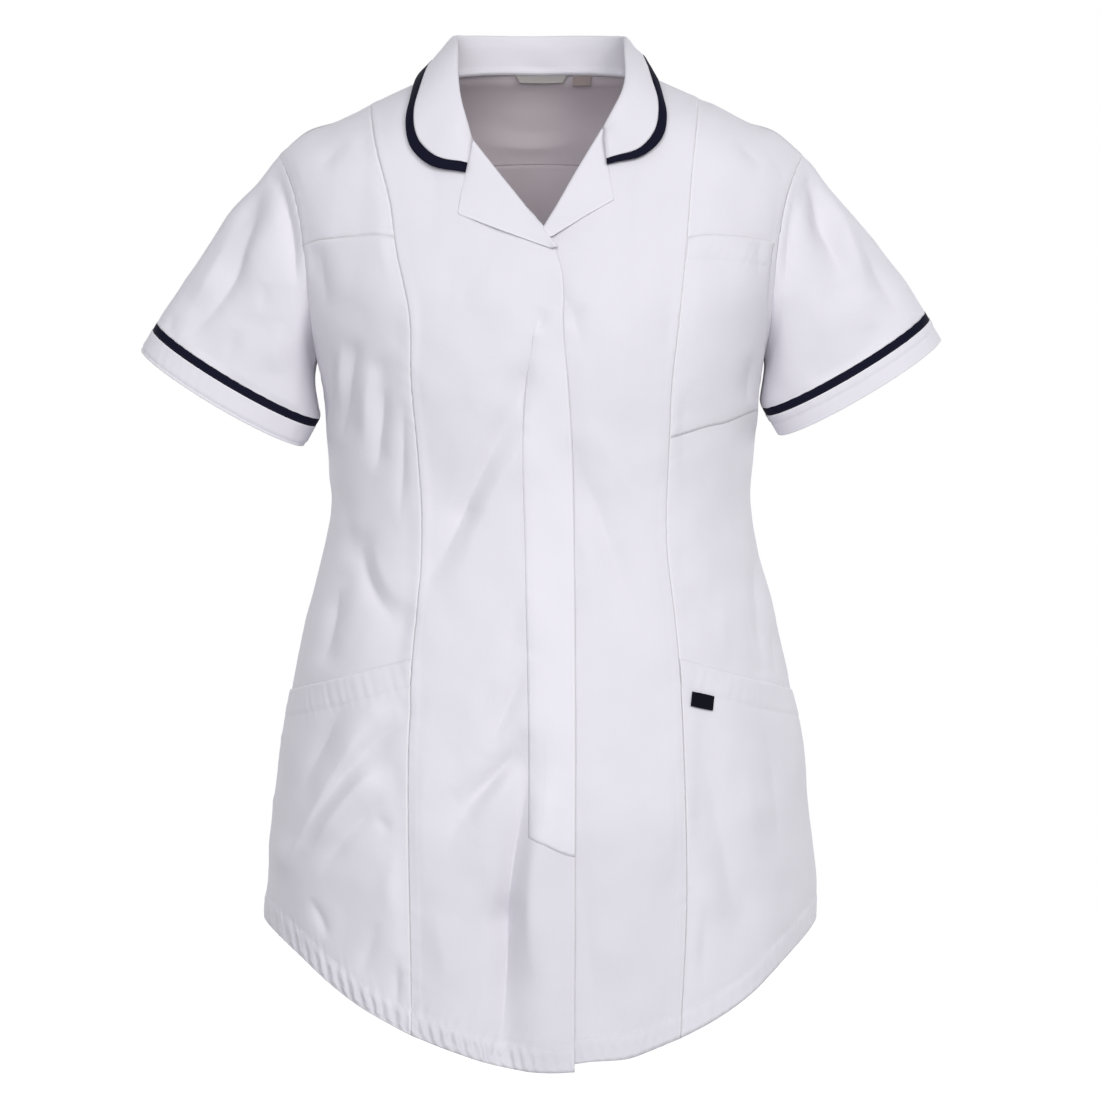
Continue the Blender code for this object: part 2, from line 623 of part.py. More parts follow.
def cloth(name, look, inner, outward, pieces, tube=False, mirrored=False):
    """A closed wall between a grid of inner points and the same points moved outward.

    The grid's rows run up the piece and its columns across. A tube's last column meets its
    first. Mirrored turns the columns round, so that both fronts are cut into triangles alike.
    """
    if mirrored:
        inner, outward = inner[:, ::-1], outward[:, ::-1]
    rows, cells = inner.shape[:2]
    bm = bmesh.new()
    offset = bm.verts.layers.float_vector.new("outward")
    made = bmesh.ops.create_grid(bm, x_segments=cells - 1, y_segments=rows - 1, size=0.5)
    for vert in made["verts"]:
        across = round((vert.co.x + 0.5) * (cells - 1))
        up = round((vert.co.y + 0.5) * (rows - 1))
        vert[offset] = tuple(outward[up, across])
        vert.co = tuple(inner[up, across])
    bmesh.ops.triangulate(bm, faces=bm.faces[:], quad_method="FIXED")
    if tube:
        bmesh.ops.remove_doubles(bm, verts=bm.verts[:], dist=1e-6)
    before = set(bm.verts)
    bmesh.ops.extrude_face_region(bm, geom=bm.faces[:], use_keep_orig=True)
    for vert in bm.verts:
        if vert not in before:
            vert.co = vert.co + vert[offset]
    bmesh.ops.recalc_face_normals(bm, faces=bm.faces[:])
    mesh = bpy.data.meshes.new(name)
    bm.to_mesh(mesh)
    bm.free()
    mesh.materials.append(material(look))
    mesh.shade_smooth()
    mesh.set_sharp_from_angle(angle=math.radians(SHARP_ANGLE))
    piece = bpy.data.objects.new(name, mesh)
    pieces.objects.link(piece)
    return piece


def seam_turned(out, other):
    """Directions shared by two walls that meet at an angle, with their mitred length."""
    shared = unit(out + other)
    facing = np.sum(shared * out, axis=-1, keepdims=True)
    return shared * np.minimum(1 / np.maximum(facing, 1 / MITRE_MOST), MITRE_MOST)


def cuff_ring(side, share, up):
    """Points round the sleeve at a distance above the cuff's hem. Share 0 is the underarm."""
    lift = CUFF_LIFT if side > 0 else 0.0
    inner = np.array([side * CUFF_INNER[0], 0.0, CUFF_INNER[1] + lift])
    outer = np.array([side * CUFF_OUTER[0], 0.0, CUFF_OUTER[1] + lift])
    middle = (inner + outer) / 2
    half = (outer - inner) / 2
    axis = cuff_axis(side)
    angle = math.pi * (1 - 2 * share)[..., None]
    ring = middle + half * np.cos(angle) + np.array([0, -CUFF_HALF_DEPTH, 0]) * np.sin(angle)
    return ring + axis * (CUFF_BOW * np.sin(angle) - up)


def cuff_axis(side):
    """The direction of the arm, down the sleeve."""
    run = np.subtract(CUFF_OUTER, CUFF_INNER)
    run = run / np.linalg.norm(run)
    return np.array([side * run[1], 0.0, -run[0]])


def ring_out(ring, side):
    """Directions out of a closed ring of points round the arm."""
    along = np.roll(ring[:-1], -1, axis=0) - np.roll(ring[:-1], 1, axis=0)
    out = unit(np.cross(along, cuff_axis(side)))
    middle = ring[:-1].mean(axis=0)
    if np.sum(out * (ring[:-1] - middle)) < 0:
        out = -out
    return np.concatenate([out, out[:1]])


def ring_shares(loop):
    """Shares of the way round a sleeve, its shoulder tip at one half."""
    steps = np.linalg.norm(np.diff(loop, axis=0), axis=1)
    way = np.concatenate([[0.0], np.cumsum(steps)])
    tip = int(np.argmax(loop[:, 2]))
    first = 0.5 * way[:tip + 1] / way[tip]
    second = 0.5 + 0.5 * (way[tip + 1:] - way[tip]) / (way[-1] - way[tip])
    return np.concatenate([first, second])


def sleeve_grid(side, loop, rows):
    """Points of a sleeve from the armhole loop, its first row, down to its lower seam."""
    share = ring_shares(loop)
    end = cuff_ring(side, share, BAND_WIDTH + TRIM_WIDTH)
    high = np.sin(math.pi * share)[:, None]
    tip = np.array([side * TIP_HEADING[0], 0.0, TIP_HEADING[1]])
    under = np.array([side * UNDERARM_HEADING[0], 0.0, UNDERARM_HEADING[1]])
    heading = unit(tip * high + under * (1 - high))
    reach = np.linalg.norm(end - loop, axis=1, keepdims=True)
    grid = []
    landing = reach * (UNDERARM_EASE + (1 - UNDERARM_EASE) * high)
    for t in np.linspace(0, 1, rows + 1):
        start_part = (1 + 2 * t) * (1 - t) ** 2 * loop + t * (1 - t) ** 2 * reach * heading
        end_part = t * t * (3 - 2 * t) * end + t * t * (t - 1) * landing * cuff_axis(side)
        grid.append(start_part + end_part)
    return np.array(grid)


def grid_out(grid, side):
    """Directions out of a tube of points whose rows are rings."""
    along = np.empty_like(grid)
    along[:, 1:-1] = grid[:, 2:] - grid[:, :-2]
    along[:, 0] = along[:, -1] = grid[:, 1] - grid[:, -2]
    down = np.gradient(grid, axis=0)
    out = unit(np.cross(along, down))
    middle = grid[:, :-1].mean(axis=1, keepdims=True)
    if np.sum(out * (grid - middle)) < 0:
        out = -out
    return out


def sleeve_fold_height(grid, side):
    """Heights of the folds on both faces of a sleeve, none at its seams."""
    along = np.sin(math.pi * np.linspace(0, 1, len(grid)))[:, None]
    depth = np.clip(np.abs(grid[..., 1]) / SLEEVE_FOLD_FADE, 0, 1)
    folds = SLEEVE_FOLDS_RIGHT if side < 0 else SLEEVE_FOLDS_LEFT
    return fold_height(grid, folds) * along * depth


def make_sleeve(side, word, front, back, yoke, pieces):
    """One sleeve with its navy trim and turned band. Gives back the armhole's shared directions."""
    underarm = rows_below("underarm")
    back_start = rows_below("underarm", BACK_LEVELS)
    edge = 0 if side < 0 else -1
    front_line = front[0][underarm:, -1]
    front_out = front[1][underarm:, -1]
    back_line = np.concatenate([back[0][back_start:, edge], yoke[0][1:, edge]])[::-1]
    back_out = np.concatenate([back[1][back_start:, edge], yoke[1][1:, edge]])[::-1]
    loop = np.concatenate([front_line, back_line[1:]])
    body_side = np.concatenate([front_out, back_out[1:]])
    grid = sleeve_grid(side, loop, SLEEVE_ROWS)
    grid = grid + grid_out(grid, side) * sleeve_fold_height(grid, side)[..., None]
    out = grid_out(grid, side)
    shared = seam_turned(body_side, out[0])
    shared[0] = shared[-1] = seam_turned(body_side[0], out[0, 0])
    wall = out * WALL
    wall[0] = shared * WALL
    heading = unit(grid[1] - grid[0])
    facing = np.sum(heading * unit(shared), axis=1, keepdims=True)
    clear = SEAM * np.minimum(1 / np.sqrt(np.maximum(1 - facing ** 2, WALL)), SEAM_MOST)
    grid[0] = grid[0] + heading * clear
    grid[-1] = grid[-1] - cuff_axis(side) * SEAM
    cloth("sleeve_" + word, WHITE, grid, wall, pieces, tube=True)
    share = ring_shares(loop)
    trim_up = (BAND_WIDTH + TRIM_WIDTH - SEAM, BAND_WIDTH + SEAM)
    band_up = np.linspace(BAND_WIDTH - SEAM, 0.0, BAND_ROWS + 1)
    for name, look, heights in (("cuff_trim_", NAVY, trim_up), ("cuff_band_", WHITE, band_up)):
        rings = np.array([cuff_ring(side, share, up) for up in heights])
        walls = np.array([ring_out(ring, side) for ring in rings]) * WALL
        cloth(name + word, look, rings, walls, pieces, tube=True)
    count = len(front_line)
    return shared[:count], shared[count - 1:][::-1]


def panel(places, inside=None):
    """Inner points and outward directions of a panel."""
    points, out = body(places)
    if inside is not None:
        points = points - out * inside[..., None]
    return points, out


def layered(points, out, height, wall):
    """Points and wall of a piece that lies on a panel, a height above its outer face."""
    lift = WALL + GAP + height
    return points + out * np.asarray(lift)[..., None], out * wall


def make_pockets(fronts, pieces):
    """Two hip pockets, from the hem to a slanted mouth, and the chest pocket."""
    mouth = rows_below("hip pocket mouth")
    for side, word in ((-1, "right"), (1, "left")):
        points, out = (grid[:mouth + 1] for grid in fronts[side])
        gape = np.zeros(points.shape[:2])
        gape[-1, 1:-1] = MOUTH_GAPE
        inner, wall = layered(points, out, gape, POCKET_WALL)
        inner = pulled(inner, bottom=POCKET_INSET, left=POCKET_INSET, right=POCKET_INSET)
        cloth("hip_pocket_" + word, WHITE, inner, wall, pieces, mirrored=side > 0)
    foot, head = rows_below("chest pocket foot"), rows_below("chest pocket mouth")
    points, out = (grid[foot:head + 1] for grid in fronts[1])
    air = np.zeros(points.shape[:2])
    air[:, -1] = EDGE_AIR
    inner, wall = layered(points, out, air, POCKET_WALL)
    inset = np.linspace(*CHEST_POCKET_INSET, len(inner))[:, None]
    inner = pulled(inner, left=POCKET_INSET, right=inset)
    cloth("chest_pocket", WHITE, inner, wall, pieces, mirrored=True)


def make_placket(centre, pieces):
    """The fastening's stitched-down strip along the right front's edge."""
    rows = slice(PLACKET_FOOT_ROW, PLACKET_HEAD_ROWS + 1)
    points, out = (grid[rows, CENTRE_CELLS:] for grid in centre)
    air = np.zeros(points.shape[:2])
    air[0] = EDGE_AIR
    inner, wall = layered(points, out, air, PLACKET_WALL)
    inner = pulled(inner, left=POCKET_INSET, right=POCKET_INSET)
    for cell, rise in enumerate(PLACKET_FOOT):
        inner[0, cell] = inner[0, cell] * (1 - rise) + inner[1, cell] * rise
    cloth("placket", WHITE, inner, wall, pieces)


def arc_blend(start, lift, end_lift, end, t):
    """A Bezier curve between rows of points, at one share of its way."""
    return ((1 - t) ** 3 * start + 3 * t * (1 - t) ** 2 * lift
            + 3 * t * t * (1 - t) * end_lift + t ** 3 * end)


def neck_side(points, out):
    """Directions in the cloth that lead off its cut edge, into the neck opening."""
    along = np.gradient(points, axis=0)
    return unit(np.cross(along, out))


def split_line(line, parts):
    """A line of points with each stretch cut into equal parts."""
    return split_at(line, np.linspace(0, len(line) - 1, (len(line) - 1) * parts + 1))


def edge_places(side):
    """Shares along the half collar, rises of the crest and edge places, for one side."""
    shares = [row[0] for row in COLLAR]
    crests = []
    places = []
    for share, crest, edge, face in COLLAR:
        tilt = float(np.clip(1 - share / COLLAR_TILT[0], 0, 1))
        crests.append((side * crest[0], crest[1], crest[2]))
        x = side * edge[0] + COLLAR_MIDDLE
        z = edge[1] + COLLAR_TILT[1] * x * tilt
        place = place_of(np.array(x), np.array(z), back=False)
        drop = {"front": -place[1], "ridge": 0.0, "back": place[1]}[face]
        places.append((x, drop))
    return shares, np.array(crests), np.array(places)


def over_ridge(x, drop):
    """Places from a distance from the middle and a drop, minus in front of the ridge."""
    z = smooth(np.abs(x), RIDGE) - fall_of(np.abs(drop))
    turn = np.where(drop <= 0, turn_of(x, z), turn_of(x, z, back=True))
    return np.stack([turn, np.abs(drop)], axis=-1)


def collar_half(side, share):
    """Rises of the crest, and edge points with their directions, along the half neck."""
    shares, crests, places = edge_places(side)
    crest = np.stack([smooth(share, list(zip(shares, crests[:, i]))) for i in range(3)], axis=-1)
    x = smooth(share, list(zip(shares, places[:, 0])))
    drop = smooth(share, list(zip(shares, places[:, 1])))
    at = over_ridge(x, drop)
    return crest, plain_body(at), body_out(at)


def collar_sections(neck, neck_out, off):
    """Grids of the collar's underside and outward directions, one row for each station."""
    count = len(neck)
    steps = np.linalg.norm(np.diff(neck, axis=0), axis=1)
    way = np.concatenate([[0.0], np.cumsum(steps)]) / np.sum(steps)
    half = way <= 0.5
    crest = np.empty((count, 3))
    edge = np.empty((count, 3))
    edge_out = np.empty((count, 3))
    right = collar_half(-1, way[half] * 2)
    left = collar_half(1, (1 - way[~half]) * 2)
    for whole, first, second in zip((crest, edge, edge_out), right, left):
        whole[half] = first
        whole[~half] = second
    edge = edge + edge_out * (WALL + FALL_CLEARANCE)
    crest = crest + neck
    foot = neck + off * COLLAR_AIR
    rim = neck + neck_out * WALL * RIM_WALLS + off * COLLAR_AIR
    return foot, rim, crest, edge, edge_out


def make_collar(neck, neck_out, off, pieces):
    """The collar, a stand that rises from the neck seam and a fall turned over it, and its trim."""
    foot, rim, crest, edge, edge_out = collar_sections(neck, neck_out, off)
    grid = [foot, rim]
    for t in np.linspace(0, 1, STAND_CELLS + 1)[1:]:
        grid.append(rim * (1 - t) + crest * t)
    length = np.linalg.norm(edge - crest, axis=1, keepdims=True)
    turn = crest + (edge - crest) * FALL_START + unit(neck_out + edge_out) * length * FALL_ROUND
    land = edge + edge_out * FALL_LIFT * length / length.max() + (crest - edge) * FALL_LANDING
    fall = [arc_blend(crest, turn, land, edge, t) for t in np.linspace(0, 1, FALL_CELLS + 1)[1:]]
    grid += fall
    grid = np.array(grid).transpose(1, 0, 2)
    down = np.gradient(grid, axis=1)
    along = np.gradient(grid, axis=0)
    out = unit(np.cross(down, along))
    if np.sum(out[:, -1] * edge_out) < 0:
        out = -out
    out[:, 0] = out[:, 1] = off
    last = grid[:, -2] - grid[:, -1]
    share = np.minimum(COLLAR_TRIM / np.linalg.norm(last, axis=1, keepdims=True), TRIM_MOST)
    split = grid[:, -1] + last * share
    split_out = unit(out[:, -1] + (out[:, -2] - out[:, -1]) * share)
    toward = -unit(last)
    body_grid = np.concatenate([grid[:, :-1], (split - toward * SEAM)[:, None]], axis=1)
    body_wall = np.concatenate([out[:, :-1], split_out[:, None]], axis=1) * WALL
    body_grid = pulled(body_grid, bottom=GORGE_AIR, top=GORGE_AIR)
    cloth("collar", WHITE, body_grid, body_wall, pieces)
    trim_grid = np.stack([split + toward * SEAM, grid[:, -1]], axis=1)
    trim_grid = pulled(trim_grid, bottom=GORGE_AIR, top=GORGE_AIR)
    trim_wall = np.stack([split_out, out[:, -1]], axis=1) * WALL
    cloth("collar_trim", NAVY, trim_grid, trim_wall, pieces)


def make_lapel(name, fold_places, fold_points, fold_out, off, outline, pieces):
    """A lapel that turns over the front's fold and lies back on the front."""
    marks = np.array(outline)
    lengths = np.linalg.norm(np.diff(marks, axis=0), axis=1)
    at = np.concatenate([[0.0], np.cumsum(lengths)]) / np.sum(lengths)
    share = np.linspace(0, 1, len(fold_points))
    x = np.interp(share, at, marks[:, 0])
    z = np.interp(share, at, marks[:, 1])
    outer = place_of(x, z)
    foot = fold_points + off * GAP
    rim = fold_points + fold_out * WALL + off * GAP
    grid = [foot, rim]
    wall = [off, unit(off + fold_out * LAPEL_RIM)]
    for t in np.linspace(0, 1, LAPEL_CELLS + 1):
        t = max(t, LAPEL_START)
        places = fold_places * (1 - t) + outer * t
        points, out = plain_body(places), body_out(places)
        puff = GAP + LAPEL_AIR + LAPEL_PUFF * (1 - t) * min(t * LAPEL_RISE, 1)
        grid.append(points + out * (WALL + puff))
        wall.append(out)
    inner = pulled(np.array(grid).transpose(1, 0, 2), bottom=GORGE_AIR)
    cloth(name, WHITE, inner, np.array(wall).transpose(1, 0, 2) * WALL, pieces)


def flat_plate(name, look, corner, across, up, out, pieces):
    """A thin flat plate from one corner, its width, its height and its thickness as vectors."""
    inner = np.array([[corner, corner + across], [corner + up, corner + up + across]])
    cloth(name, look, inner, np.broadcast_to(out, inner.shape), pieces)


def make_tab(front, pieces):
    """The small navy tab on the wearer's left hip pocket."""
    x, z, length, height, tilt = TAB
    place = place_of(np.array(x), np.array(z))
    points, out = body(place)
    across = unit(np.cross(np.array([0.0, 0.0, 1.0]), -out))
    across = across if across[0] > 0 else -across
    up = np.cross(out, across) if np.cross(out, across)[2] > 0 else np.cross(across, out)
    angle = math.radians(-tilt)
    lean_across = across * math.cos(angle) + up * math.sin(angle)
    lean_up = -across * math.sin(angle) + up * math.cos(angle)
    base = points + out * (WALL + GAP + POCKET_WALL + GAP + TAB_AIR)
    corner = base - lean_across * length / 2 - lean_up * height / 2
    flat_plate("pocket_tab", TAB_BLUE, corner, lean_across * length, lean_up * height,
               out * TAB_WALL, pieces)


def on_grid(grid, rows, columns):
    """Points of a grid at fractional rows and columns, on the cells' own straight lines."""
    at_rows = split_at(grid, rows)
    return split_at(at_rows.transpose(1, 0, 2), columns).transpose(1, 0, 2)


def split_at(line, places):
    """Entries of a line at fractional places."""
    places = np.array(places, dtype=float)
    low = np.clip(np.floor(places).astype(int), 0, len(line) - 2)
    t = (places - low).reshape((-1,) + (1,) * (line.ndim - 1))
    return line[low] * (1 - t) + line[low + 1] * t


def make_labels(yoke, pieces):
    """The blank neck label and size label, hung inside the back neck."""
    for name, look, (start, end, height) in (("neck_label", CREAM, NECK_LABEL),
                                             ("size_label", BEIGE, SIZE_LABEL)):
        inside = [column for column in range(len(yoke[0][0])) if start < column < end]
        columns = [start] + inside + [end]
        top = len(yoke[0]) - 1.0 - LABEL_START
        points, out = (on_grid(grid, (top - height, top), columns) for grid in yoke)
        air = np.array([LABEL_AIR, GAP])[:, None, None]
        cloth(name, look, points - out * air, -unit(out) * LABEL_WALL, pieces)


def build():
    """All the pieces of the tunic."""
    for old in list(bpy.data.objects):
        bpy.data.objects.remove(old, do_unlink=True)
    pieces = collection("maternity_tunic")
    centre_places = {side: centre_front(side) for side in (-1, 1)}
    centres = {side: panel(*centre_places[side]) for side in (-1, 1)}
    sides = {side: panel(side_front(side)) for side in (-1, 1)}
    back = panel(back_places())
    yoke = panel(yoke_places())
    arm = {side: make_sleeve(side, word, sides[side], back, yoke, pieces)
           for side, word in ((-1, "right"), (1, "left"))}
    underarm = rows_below("underarm")
    back_start = rows_below("underarm", BACK_LEVELS)
    back_rows = len(back[0]) - back_start

    side_walls = {}
    for side in (-1, 1):
        wall = sides[side][1] * WALL
        wall[underarm:, -1] = arm[side][0] * WALL
        side_walls[side] = wall
    back_wall = back[1] * WALL
    yoke_wall = yoke[1] * WALL
    for side, edge in ((-1, 0), (1, -1)):
        back_wall[back_start:, edge] = arm[side][1][:back_rows] * WALL
        yoke_wall[:, edge] = arm[side][1][back_rows - 1:] * WALL

    for side, word in ((-1, "right"), (1, "left")):
        points = pulled(centres[side][0], left=SEAM)
        points[-1, :SHOULDER_CELLS + 1, 1] -= SEAM
        cloth("front_centre_" + word, WHITE, points, centres[side][1] * WALL, pieces,
              mirrored=side > 0)
    for side, word in ((-1, "right"), (1, "left")):
        points = pulled(sides[side][0], left=SEAM, right=SEAM)
        points[-1, :, 1] -= SEAM
        if side > 0:
            cloth("front_side_left", WHITE, points, side_walls[side], pieces, mirrored=True)
            continue
        seam = rows_below("chest pocket mouth")
        low = pulled(points[:seam + 1], top=SEAM)
        high = pulled(points[seam:], bottom=SEAM)
        cloth("front_side_right", WHITE, low, side_walls[side][:seam + 1], pieces)
        cloth("front_yoke_right", WHITE, high, side_walls[side][seam:], pieces)
    cloth("back", WHITE, pulled(back[0], left=SEAM, right=SEAM, top=SEAM), back_wall, pieces)
    yoke_points = pulled(yoke[0], left=SEAM, right=SEAM, bottom=SEAM)
    shoulder = len(SHOULDER_COLUMNS)
    yoke_points[-1, :shoulder, 1] += SEAM
    yoke_points[-1, -shoulder:, 1] += SEAM
    cloth("back_yoke", WHITE, yoke_points, yoke_wall, pieces)

    make_pockets(sides, pieces)
    make_placket(centres[-1], pieces)
    make_tab(sides[1], pieces)
    make_labels(yoke, pieces)

    neck_part = slice(SHOULDER_CELLS, SHOULDER_CELLS + NECK_CELLS + 1)
    roll_part = slice(SHOULDER_CELLS + NECK_CELLS, None)
    first = [grid[-1, neck_part][::-1] for grid in centres[-1]]
    middle = [grid[-1, shoulder - 1:len(back_columns()) - shoulder + 1] for grid in yoke]
    last = [grid[-1, neck_part] for grid in centres[1]]
    neck = [chain(first[i], middle[i], last[i]) for i in range(2)]
    neck_line, neck_out = (split_line(line, COLLAR_SPLIT) for line in neck)
    neck_out = unit(neck_out)
    off = neck_side(neck_line, neck_out)
    centre_point = neck_line.mean(axis=0)
    off = np.where(np.sum(off * (centre_point - neck_line), axis=1, keepdims=True) < 0, -off, off)
    make_collar(neck_line, neck_out, off, pieces)

    left_part = slice(roll_part.start, roll_part.start + LAPEL_LEFT_CELLS + 1)
    for side, word, outline, part in ((-1, "right", LAPEL_RIGHT, roll_part),
                                      (1, "left", LAPEL_LEFT, left_part)):
        points, out = (grid[-1, part] for grid in centres[side])
        fold_places = centre_places[side][0][-1, part]
        off = neck_side(points, out)
        inward = np.array([-side * 1.0, 0.0, 0.5])
        off = np.where((off @ inward)[:, None] < 0, -off, off)
        make_lapel("lapel_" + word, fold_places, points, out, off, outline, pieces)


build()
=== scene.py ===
"""A short-sleeved maternity tunic in white cloth with navy trim, dressed for a studio picture.

Metres, +Z up. The front faces -Y and the wearer's left is +X. Each cut piece is a fine grid of
cloth on the body's smooth surface, read by a turn round it and a drop below the shoulder ridge,
with its creases, seams, hems and stitches worked into the grid.
"""

import functools
import json
import math

import bmesh
import bpy
import numpy as np
from bpy.props import FloatProperty, FloatVectorProperty, PointerProperty
from mathutils import Matrix, Vector

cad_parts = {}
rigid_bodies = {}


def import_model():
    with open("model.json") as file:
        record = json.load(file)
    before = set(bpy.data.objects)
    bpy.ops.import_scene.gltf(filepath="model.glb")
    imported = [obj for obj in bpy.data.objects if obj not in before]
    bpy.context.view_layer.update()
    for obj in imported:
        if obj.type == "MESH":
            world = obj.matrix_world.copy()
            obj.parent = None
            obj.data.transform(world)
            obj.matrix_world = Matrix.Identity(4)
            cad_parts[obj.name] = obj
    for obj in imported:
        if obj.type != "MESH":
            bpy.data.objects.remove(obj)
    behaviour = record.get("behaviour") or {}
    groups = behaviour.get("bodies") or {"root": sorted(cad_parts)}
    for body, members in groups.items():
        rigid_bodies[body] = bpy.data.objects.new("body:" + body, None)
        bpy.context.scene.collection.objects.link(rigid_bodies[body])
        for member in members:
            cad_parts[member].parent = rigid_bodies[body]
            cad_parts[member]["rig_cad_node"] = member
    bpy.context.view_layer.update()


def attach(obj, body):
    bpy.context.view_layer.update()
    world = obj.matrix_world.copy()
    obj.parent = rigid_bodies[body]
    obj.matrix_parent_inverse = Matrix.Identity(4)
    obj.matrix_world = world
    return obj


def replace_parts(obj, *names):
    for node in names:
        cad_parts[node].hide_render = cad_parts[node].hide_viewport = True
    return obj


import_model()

bl_info = {
    "name": "Maternity tunic",
    "version": (1, 0, 0),
    "blender": (4, 5, 0),
    "location": "3D View > Sidebar > Tunic",
    "description": "Dresses the maternity tunic's solids in sewn cloth",
    "category": "Object",
}

SIDES = ((-1, "right"), (1, "left"))     # the wearer's
HALF_PI = math.pi / 2
FINE_ROWS = 8            # rows of fine cloth for each row of the solids
FINE_CELLS = 8           # cells of fine cloth for each cell of the solids
GAP = 0.0003             # air between pieces that meet
WALL = 0.0012            # the solids' cloth, from which the body's width is read
SQUARENESS = 0.83        # power that squares the round sections of the body
SHOULDER_ROUND = 0.055   # drop over which the cloth rounds over the shoulder ridge
ROUNDS = 12              # rounds in which a height that depends on itself settles
STEP = 0.004             # step of turn or drop over which a slope is read


def metres(rows):
    """Millimetres as metres, at any depth of a table."""
    return rows / 1000 if isinstance(rows, (int, float)) else tuple(metres(row) for row in rows)


def levels(*rows):
    """Levels with finer rows of cloth above them and their heights in metres."""
    return tuple((name, count * FINE_ROWS, *metres(heights)) for name, count, *heights in rows)


# Tables are in millimetres. Sections of the body: height, half width, depth to the front and
# to the back
BODY = metres((
    (-780, 219.5, 170, 120), (-650, 219, 167, 117), (-600, 216.4, 165, 115),
    (-560, 212.8, 163, 112), (-520, 208.6, 159, 108), (-480, 201.4, 154, 105),
    (-440, 193.6, 147, 101), (-400, 183.6, 139, 98), (-360, 173, 132, 98),
    (-320, 167.5, 128, 99), (-280, 170.4, 130, 103), (-240, 173.8, 134, 110),
    (-205, 179, 135, 114), (-160, 192, 130, 115), (-120, 202, 116, 112), (-80, 209, 98, 107),
    (-40, 214, 81, 100), (0, 217, 71, 92), (50, 218, 63, 81),
))

# Shoulder ridge: distance from the middle, height
RIDGE = metres((
    (-30, 40.5), (0, 44), (30, 40.5), (60, 30.2), (75, 23.5), (121.6, 2.4), (164.4, -18.2),
    (187.6, -26.2), (208.5, -44.5), (220, -56),
))

# Seams and edges on the front: height, distance from the middle
PRINCESS_RIGHT = metres((
    (-735, 99), (-441, 98.8), (-379, 93.7), (-336, 92.3), (-286, 95.4), (-225, 100.7),
    (-182, 101.4), (-122, 113.3), (-91, 117.5), (-39, 130.5), (-3.5, 136),
))
PRINCESS_LEFT = metres((
    (-737, 107), (-637, 112), (-540, 111), (-447, 107), (-410, 103.5), (-360, 98), (-272, 100),
    (-235, 101.5), (-181, 107.5), (-118, 114), (-60, 119), (1, 126),
))
FRONT_EDGE = metres((
    (-761, 26.1), (-368, 26.2), (-286, 24.8), (-235, 21.7), (-188, 17.8), (-144, 16.3),
    (-126, 11.7),
))
STITCH_LINE = metres((
    (-761, -10), (-475, -10), (-368, -12.4), (-244, -13), (-178, -5), (-106, -4),
))
ARMHOLE = metres((
    (-205, 177.8), (-190, 180.5), (-160, 183.2), (-125, 186.2), (-100, 190), (-78, 195),
    (-60, 201.5), (-44.5, 208.5),
))

# Hems and the back of the neck: distance from the middle, height
FRONT_HEM = metres((
    (-40, -756.5), (0, -761), (40, -756.5), (75, -745), (117, -728), (147, -711), (168, -695),
    (189, -677.4), (219, -650),
))
BACK_HEM = metres((
    (-40, -736), (0, -740), (40, -736), (75, -727), (117, -713), (147, -700), (168, -687),
    (189, -673), (219, -650),
))
BACK_NECK = metres((
    (-30, 26.8), (0, 27), (30, 26.8), (45, 25.8), (60, 23.8), (70, 22.5), (75, 23.5),
))
HEM_MIDDLE = 0.009       # the front hem is lowest a little to the wearer's left
UNDERLAP_RISE = 0.006    # how much shorter the under front is at the hem

# Levels across the fronts: name, rows of cloth above it, height at the front edge, at the
# princess seams and at the side
LEVELS = levels(
    ("hem", 12, -761, -735, -652),
    ("hip pocket mouth", 7, -430, -444, -472),
    ("chest pocket foot", 2, -265, -273, -248),
    ("underarm", 4, -215, -222, -205),
    ("chest pocket mouth", 5, -165, -116, -120),
)
EDGE_COLUMN, PRINCESS_COLUMN, SIDE_COLUMN = 2, 3, 4

# Levels across the back, the same rows: height at the middle and at the side
BACK_LEVELS = levels(
    ("hem", 12, -740, -652),
    ("hip", 7, -440, -472),
    ("chest", 2, -260, -248),
    ("underarm", 6, -210, -205),
    ("yoke seam", 4, -44, -85),
)

# Neck opening of the fronts on one side: distance from the middle and height
NECK_MIDDLE = -0.0024    # the opening sits a little to the wearer's right
NECK_TILT = 0.10         # and is higher on the wearer's left
GORGE = (0.0525, -0.0345)
NECK_SIDE = (0.0700, -0.0020)
NECK_POINT = (0.0750, 0.0235)
SHOULDER_TIP = 0.2085
YOKE_DIP = 2.2           # power with which the yoke seam falls toward the armholes
RIGHT_BREAK = (0.0117, -0.1264)     # where the right front's fold meets its free edge
LEFT_BREAK = (-0.0060, -0.1257)     # the same on the under front, hidden by the right
SHOULDER_COLUMNS = (0.2085, 0.1880, 0.1640, 0.1360, 0.1050, 0.0750)
NECK_COLUMNS = (0.0750, 0.0690, 0.0580, 0.0420, 0.0220, 0.0)
SHOULDER_END = (len(SHOULDER_COLUMNS) - 1) * FINE_CELLS
SHOULDER_CELLS, NECK_CELLS, ROLL_CELLS, LAP_CELLS = (n * FINE_CELLS for n in (3, 4, 4, 2))
SIDE_CELLS = 12 * FINE_CELLS
CENTRE_CELLS = SHOULDER_CELLS + NECK_CELLS + ROLL_CELLS
LAP_DROP = 0.0018        # how far the under front lies inside the upper one
LAP_DROP_TOP = 0.0030    # the same near the neck, where the two edges cross

